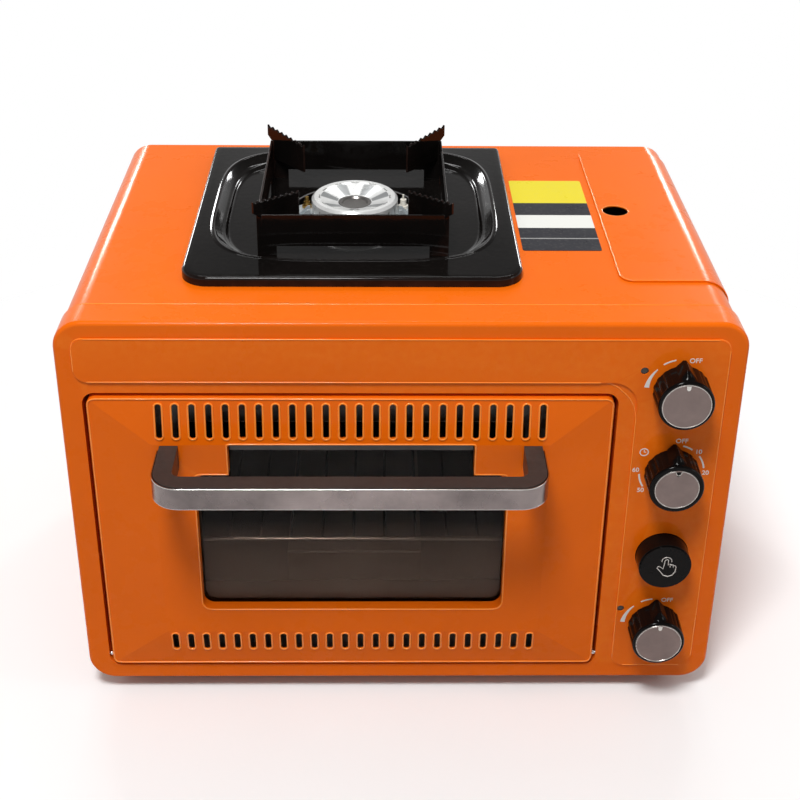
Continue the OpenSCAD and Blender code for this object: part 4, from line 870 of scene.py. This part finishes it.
def build_dial_print():
    """Arcs, wedges and a small clock face printed round the dials."""
    for control, thin, wedge in THIN_ARCS:
        z, shape = DIAL_Z[control], Shape()
        strip(shape, arc_path(CONTROL_X, z, THIN_R, *thin), THIN_W)
        strip(shape, arc_path(CONTROL_X, z, WEDGE_R, *wedge), WEDGE_W, WEDGE_GROWS)
        shape.make(control + "_dial_print", "white_print", "case", "orange_paint")
    z, shape = DIAL_Z["timer"], Shape()
    for start, end in TIMER_ARCS:
        strip(shape, arc_path(CONTROL_X, z, TIMER_R, start, end), TIMER_W)
    x, z = CONTROL_X + CLOCK_AT[0], z + CLOCK_AT[1]
    strip(shape, arc_path(x, z, CLOCK_R, 0, 360, 28), CLOCK_LINE)
    for across, up in (LONG_HAND, SHORT_HAND):
        strip(shape, [(x, z), (x + across, z + up)], HAND_LINE)
    shape.make("timer_dial_print", "white_print", "case", "orange_paint")


def lettering(name, words, x, z):
    """Generic dial lettering, standing a hair proud of the front panel."""
    data = bpy.data.curves.new(name, "FONT")
    data.body, data.size = words, LETTER_H * MM
    data.align_x, data.align_y = "CENTER", "CENTER"
    data.extrude, data.offset = LETTER_THICK * MM, LETTER_BOLD * MM
    data.materials.append(FINISHES["white_print"])
    place = Matrix.Translation(on_front(PANEL, x, z, LETTER_LIFT))
    obj = put(name, data, place @ Matrix.Rotation(pi / 2, 4, "X"))
    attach(obj, "case")


build_dial_print()
for number, across, up in NUMBERS:
    lettering("timer_number_" + number, number, CONTROL_X + across, DIAL_Z["timer"] + up)
for control, across, up in OFF_WORDS:
    lettering(control + "_off_word", "OFF", CONTROL_X + across, DIAL_Z[control] + up)

# A pointing hand on the button: its outline, its folded fingers and the ring round its tip
SIGN_X, SIGN_Y = CONTROL_X + 1, -16.0
HAND = [(-1.6, 6.2), (-0.4, 7.2), (0.8, 6.4), (0.9, 2.2), (2.2, 2.9), (3.4, 2.2), (4.4, 2.4),
        (5.2, 1.5), (6.2, 1.6), (6.8, 0.4), (6.4, -3.6), (4.6, -6.8), (1.2, -8.2), (-2.2, -6.8),
        (-4.4, -3.6), (-7.0, -0.6), (-6.4, 0.8), (-4.8, 0.6), (-2.6, -1.2), (-2.0, 2.2)]
FINGER_FOLDS = [[(x, 2.2), (x, 0.2)] for x in (2.4, 4.8)]
TIP_RING_AT, TIP_RING_W, TIP_RING_H = (-0.4, 5.6), 3.6, 3.4  # its middle and half sizes
OUTLINE_R, DETAIL_R = 0.38, 0.34


def build_hand():
    """The light outline of a pressing hand on the safety button."""
    def on_button(path):
        return [at(SIGN_X + x, SIGN_Y, BUTTON_Z + z) for x, z in path]

    shape = Shape().tube(on_button(HAND), OUTLINE_R)
    tip = [(TIP_RING_AT[0] + TIP_RING_W * sin(t), TIP_RING_AT[1] + TIP_RING_H * cos(t))
           for t in (radians(a) for a in range(-100, 101, 20))]
    for path in (*FINGER_FOLDS, tip):
        shape.tube(on_button(path), DETAIL_R, closed=False)
    shape.make("button_hand_sign", "silver_rim", "button", "gloss_black")


build_hand()

# Door details
SLOT_COUNT, SLOT_PITCH, SLOT_W = 24, 11.5, 4.4
SLOT_ROWS = ((220.9, 246.9), (32.3, 48.7))
SLOT_RIM_OUT, SLOT_RIM_LIFT, SLOT_RIM_R, SLOT_POINTS = 0.6, 0.2, 0.75, 20
DOOR_X, DOOR_Z, DOOR_CORNER = (-216.0, 146.5), (16.5, 251.5), 5.5
DOOR_BEAD_IN, DOOR_BEAD_R = 0.9, 0.7
WINDOW_HALF, NOTCH_HALF, WINDOW_Z = 110.0, 86.0, (71.5, 190.5, 216.0)
WINDOW_BEAD_OUT, WINDOW_BEAD_LIFT, WINDOW_BEAD_R = 0.55, -0.1, 0.65
WINDOW_CORNERS = (8, 5, 1.5, 2)
BAR_SECTION = [(2.9, 206.6), (1.7, 206.8), (1.2, 207.5), (1.2, 211.2), (1.7, 212.0), (2.9, 212.2)]
BAR_X = (-85.4, -84.9, 84.9, 85.4)
BAND = [(-222.4, 296.9, 9), (-222.4, 263.6, 9), (144.1, 263.6, 9), (162.1, 245.6, 12),
        (162.1, 13.6, 9), (221.9, 13.6, 9), (221.9, 296.9, 9)]  # x, z and corner radius
BAND_LIFT, BAND_R, BAND_STEP = -0.12, 0.5, 2.0
HANDLE_HALF, HANDLE_REACH, HANDLE_CORNER, HANDLE_TOP = 134.0, 57.0, 20.0, 214.5
FACING_H, FACING_ENDS, LINE_SUNK_IN = 16.0, -14.0, 0.3
FACING_LINES = (("handle_upper_line", HANDLE_TOP, 0.55),
                ("handle_lower_line", HANDLE_TOP - FACING_H, 0.4))  # height, radius
FILM_HALF, FILM_LOW, FILM_Y, FILM_THICK = 109.0, WINDOW_Z[0] + 1, 7.15, 0.12
FILM_CORNER, FILM_CUT = 7, 2
BAFFLE_POINTS, BAFFLE_DOWN, BAFFLE_EDGE_R = 25, 0.4, 0.9


def build_slot_rims():
    """The pressed rims round the door's vent slots."""
    paths, r = [], SLOT_W / 2 + SLOT_RIM_OUT
    turns = [2 * pi * (k + 0.5) / SLOT_POINTS for k in range(SLOT_POINTS)]
    for low, high in SLOT_ROWS:
        upper, lower = high - SLOT_W / 2, low + SLOT_W / 2
        rim = [(r * cos(t), (upper if sin(t) > 0 else lower) + r * sin(t)) for t in turns]
        for i in range(SLOT_COUNT):
            x = MID_X + (i - (SLOT_COUNT - 1) / 2) * SLOT_PITCH
            paths.append([on_front(DOOR, x + across, z, SLOT_RIM_LIFT) for across, z in rim])
    rolled_edge("door_slot_rims", "door", paths, SLOT_RIM_R, sides=8)


def build_door_beads():
    """The rolled edges of the door skin: round its outside and round its window."""
    (x0, x1), (z0, z1), inset = DOOR_X, DOOR_Z, DOOR_BEAD_IN
    outline = [(x0 + inset, z0 + inset), (x1 - inset, z0 + inset), (x1 - inset, z1 - inset),
               (x0 + inset, z1 - inset)]
    path = rounded_path([(x, z, DOOR_CORNER) for x, z in outline])
    rolled_edge("door_edge_bead", "door", [[on_front(DOOR, x, z, 0.0) for x, z in path]],
                DOOR_BEAD_R)
    low, step, high = WINDOW_Z[0] - WINDOW_BEAD_OUT, *(z + WINDOW_BEAD_OUT for z in WINDOW_Z[1:])
    half, notch = WINDOW_HALF + WINDOW_BEAD_OUT, NOTCH_HALF + WINDOW_BEAD_OUT
    right = [(*corner, r) for corner, r in zip(((half, low), (half, step), (notch, step),
                                                (notch, high)), WINDOW_CORNERS)]
    outline = [(-half, low, WINDOW_CORNERS[0])] + right + [(-x, z, r) for x, z, r in right[:0:-1]]
    path = rounded_path([(MID_X + x, z, r) for x, z, r in outline])
    rolled_edge("window_edge_bead", "door",
                [[on_front(DOOR, x, z, WINDOW_BEAD_LIFT) for x, z in path]], WINDOW_BEAD_R)


def build_notch_bar():
    """The grey bar that holds the glass along the top of its notch."""
    loops = [[at(MID_X + x, y, z) for y, z in BAR_SECTION] for x in BAR_X]
    Shape().loft(loops, capped=True).make("notch_bar", "bar_grey", "door", "dark_steel", edge=0.15)


def build_band_bead():
    """The pressed edge of the raised band: along its lower side and down its column."""
    path = rounded_path(BAND, BAND_STEP)
    rolled_edge("panel_band_bead", "case", [[on_front(PANEL, x, z, BAND_LIFT) for x, z in path]],
                BAND_R)


def build_handle_lines():
    """The polished upper and lower edges of the handle's metal facing, round both its bends."""
    # Their bright plating is a painted highlight along the polished edges
    width, reach, r = (size - LINE_SUNK_IN for size in (HANDLE_HALF, HANDLE_REACH, HANDLE_CORNER))
    bend = [(width - r + r * sin(t), r - reach - r * cos(t)) for t in QUARTER]
    plan = mirrored(bend + [(width, FACING_ENDS)])
    for name, z, line_r in FACING_LINES:
        rolled_edge(name, "door", [[at(MID_X + x, y, z) for x, y in plan]], line_r, "pin_steel",
                    "bright_steel", closed=False, up=UPWARD)


def build_reflection_film():
    """A thin pale film behind the lower part of the window: a painted reflection of the floor."""
    half = [(FILM_HALF - FILM_CORNER, FILM_LOW), (FILM_HALF - FILM_CUT, FILM_LOW + FILM_CUT),
            (FILM_HALF, FILM_LOW + FILM_CORNER), (FILM_HALF, FILM_Z[1])]
    outline = [(MID_X + x, z) for x, z in mirrored(half)]
    loops = [[at(x, y, z) for x, z in outline] for y in (FILM_Y, FILM_Y + FILM_THICK)]
    Shape().loft(loops, capped=True).make("window_floor_reflection", "glass_reflection_film", "door", "window_glass")


def build_baffle_edge():
    """The bright turned edge along the front of the heat baffle."""
    # Its bright plating is a painted highlight along the baffle's front edge
    low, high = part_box("heat_baffle")
    across = [low[0] + (high[0] - low[0]) * i / (BAFFLE_POINTS - 1) for i in range(BAFFLE_POINTS)]
    path = [Vector((x, low[1], high[2] - BAFFLE_DOWN * MM)) for x in across]
    rolled_edge("baffle_edge", "case", [path], BAFFLE_EDGE_R, "pin_steel", "dark_steel",
                closed=False, up=UPWARD)


# Lid and case
LID_X, LID_FRONT_Y, LID_R, LID_TOP = 156.0, 64.5, 10.0, 308.8
LID_BEAD_IN, LID_BEAD_R, LID_BEAD_DOWN = 0.5, 0.45, 0.15
FINGER_X, FINGER_Y, FINGER_R = LID_X + 14.0, 187.0, 10.0
FINGER_BEAD_OUT, FINGER_BEAD_DOWN, FINGER_POINTS = 0.3, 0.2, 40
SHELL_R, CASE_TOP, HALF_W, SEAM_Y, SEAM_R, SEAM_DOWN = 20.0, 309.0, 235.0, 27.1, 0.45, 0.15
LID_SIDE_Y, LID_BEND, LID_FRONT_X = range(307, 78, -4), range(186, 271, 7), range(170, 215, 4)
SEAM_SIDE_Z = range(280, 24, -8)


def build_lid_beads():
    """The folded edges of the cartridge lid and the rolled rim of its finger hole."""
    r = LID_R - LID_BEAD_IN
    plan = [(LID_X + LID_BEAD_IN, y) for y in LID_SIDE_Y]
    plan += [(LID_X + LID_R + r * cos(t), LID_FRONT_Y + LID_R + r * sin(t))
             for t in (radians(a) for a in LID_BEND)]
    plan += [(x, LID_FRONT_Y + LID_BEAD_IN) for x in LID_FRONT_X]
    shape = Shape().tube([at(x, y, LID_TOP - LID_BEAD_DOWN) for x, y in plan], LID_BEAD_R,
                         closed=False, up=UPWARD)
    r = FINGER_R + FINGER_BEAD_OUT
    shape.tube([at(FINGER_X + r * cos(t), FINGER_Y + r * sin(t), LID_TOP - FINGER_BEAD_DOWN)
                for t in circle(FINGER_POINTS)], LID_BEAD_R, up=UPWARD)
    # The beads' lighter orange is a painted highlight along the lid's edges and the hole's rim
    shape.make("lid_edge_bead", "orange_highlight", "lid", "orange_paint", degrees=BEAD_SHARP_OVER)


def build_seam_bead():
    """The turned back edge of the front panel, over the top and down both sides."""
    reach, top = HALF_W - SEAM_R, CASE_TOP - SEAM_DOWN
    bend = [(reach - SHELL_R + SHELL_R * sin(t), top - SHELL_R + SHELL_R * cos(t))
            for t in QUARTER]
    profile = mirrored(bend + [(reach, z) for z in SEAM_SIDE_Z])
    rolled_edge("front_seam_bead", "case", [[at(x, SEAM_Y, z) for x, z in profile]], SEAM_R,
                closed=False)


for build in (build_slot_rims, build_door_beads, build_notch_bar, build_band_bead,
              build_handle_lines, build_baffle_edge, build_lid_beads, build_seam_bead,
              build_reflection_film):
    build()

# Floor and light
FLOOR_RINGS, FLOOR_POINTS = (0.4, 2.0, 8.0), 64  # radii in metres, points round each
FLOOR_FADE = (0.36, 0.85)  # where the floor starts to fade, and is gone
FLOOR_WHITES = ((0.95, 0.95, 0.95, 1), (0.92, 0.92, 0.92, 1))
FLOOR_THROWS = (0.42, 0.42, 0.42, 1)  # what it sends back up at the object
SKY_LIGHT, SKY_SEEN = 0.34, 1.0
CEILING_FROM, CEILING_FULL, CEILING_DARK = 0.12, 0.5, 0.8
AIM = Vector((0, 0, 0.15))
LAMPS = (("key", (-0.3, -1.05, 2.2), (0.5, 0.5), 40.0),  # place, size in metres, watts
         ("back_strip", (0.0, 1.5, 1.95), (1.3, 0.16), 9.0),
         ("back_left", (-1.0, 2.1, 0.95), (0.3, 0.3), 8.0),
         ("back_right", (1.0, 2.1, 0.95), (0.3, 0.3), 8.0),
         ("side", (1.7, -0.5, 1.0), (0.4, 0.4), 3.0))


def build_floor():
    """A pale floor: white to look at, but it throws less light back up at the object."""
    mesh, shape = bpy.data.meshes.new("studio_floor"), Shape()
    shape.loft([[(r * cos(t), r * sin(t), 0) for t in circle(FLOOR_POINTS)] for r in FLOOR_RINGS])
    middle = tuple(range(FLOOR_POINTS - 1, -1, -1))
    mesh.from_pydata(shape.verts, [], shape.faces + [middle])
    material = bare_finish("pale floor", Roughness=0.9, Specular_IOR_Level=0.1)
    tree = material.node_tree
    white = use(material, TONE_DRIFT, Shade=FLOOR_WHITES[0], Other_shade=FLOOR_WHITES[1],
                Scale=1.5)
    thrown = tree.nodes.new("ShaderNodeLightPath").outputs["Is Diffuse Ray"]
    reach = tree.nodes.new("ShaderNodeVectorMath")
    reach.operation = "LENGTH"
    feed(tree, reach.inputs[0], own_point(tree))
    dress(material, Base_Color=mix(tree, thrown, white, FLOOR_THROWS),
          Alpha=spread(tree, reach.outputs["Value"], *FLOOR_FADE, 1.0, 0.0, eased=True))
    mesh.materials.append(material)
    floor = put("studio_floor", mesh)


def build_sky():
    """A world that is white to see, soft as light, and darker overhead where gloss shows it."""
    world = bpy.data.worlds.new("studio")
    bpy.context.scene.world = world
    world.use_nodes = True
    tree = world.node_tree
    path = tree.nodes.new("ShaderNodeLightPath").outputs
    seen = path["Is Camera Ray"]
    for label in ("Is Glossy Ray", "Is Transmission Ray"):
        seen = maths(tree, "MAXIMUM", seen, path[label])
    level = spread(tree, seen, 0.0, 1.0, SKY_LIGHT, SKY_SEEN)
    up = coordinate(tree, tree.nodes.new("ShaderNodeTexCoord").outputs["Generated"], "Z")
    ceiling = spread(tree, up, CEILING_FROM, CEILING_FULL, 0.0, CEILING_DARK, eased=True)
    strength = maths(tree, "SUBTRACT", level, product(tree, ceiling, path["Is Glossy Ray"]))
    sky = tree.nodes["Background"]
    sky.inputs["Color"].default_value = (1, 1, 1, 1)
    feed(tree, sky.inputs["Strength"], strength)


def build_lamps():
    """Plain soft studio lamps, all aimed at the object."""
    for name, place, size, power in LAMPS:
        lamp = bpy.data.lights.new(name, "AREA")
        lamp.energy, lamp.shape = power, "RECTANGLE"
        lamp.size, lamp.size_y = size
        aim = (AIM - Vector(place)).to_track_quat("-Z", "Y")
        put(name, lamp, Matrix.Translation(place) @ aim.to_matrix().to_4x4())


build_floor()
build_sky()
build_lamps()
bpy.context.scene.view_settings.view_transform = "Standard"
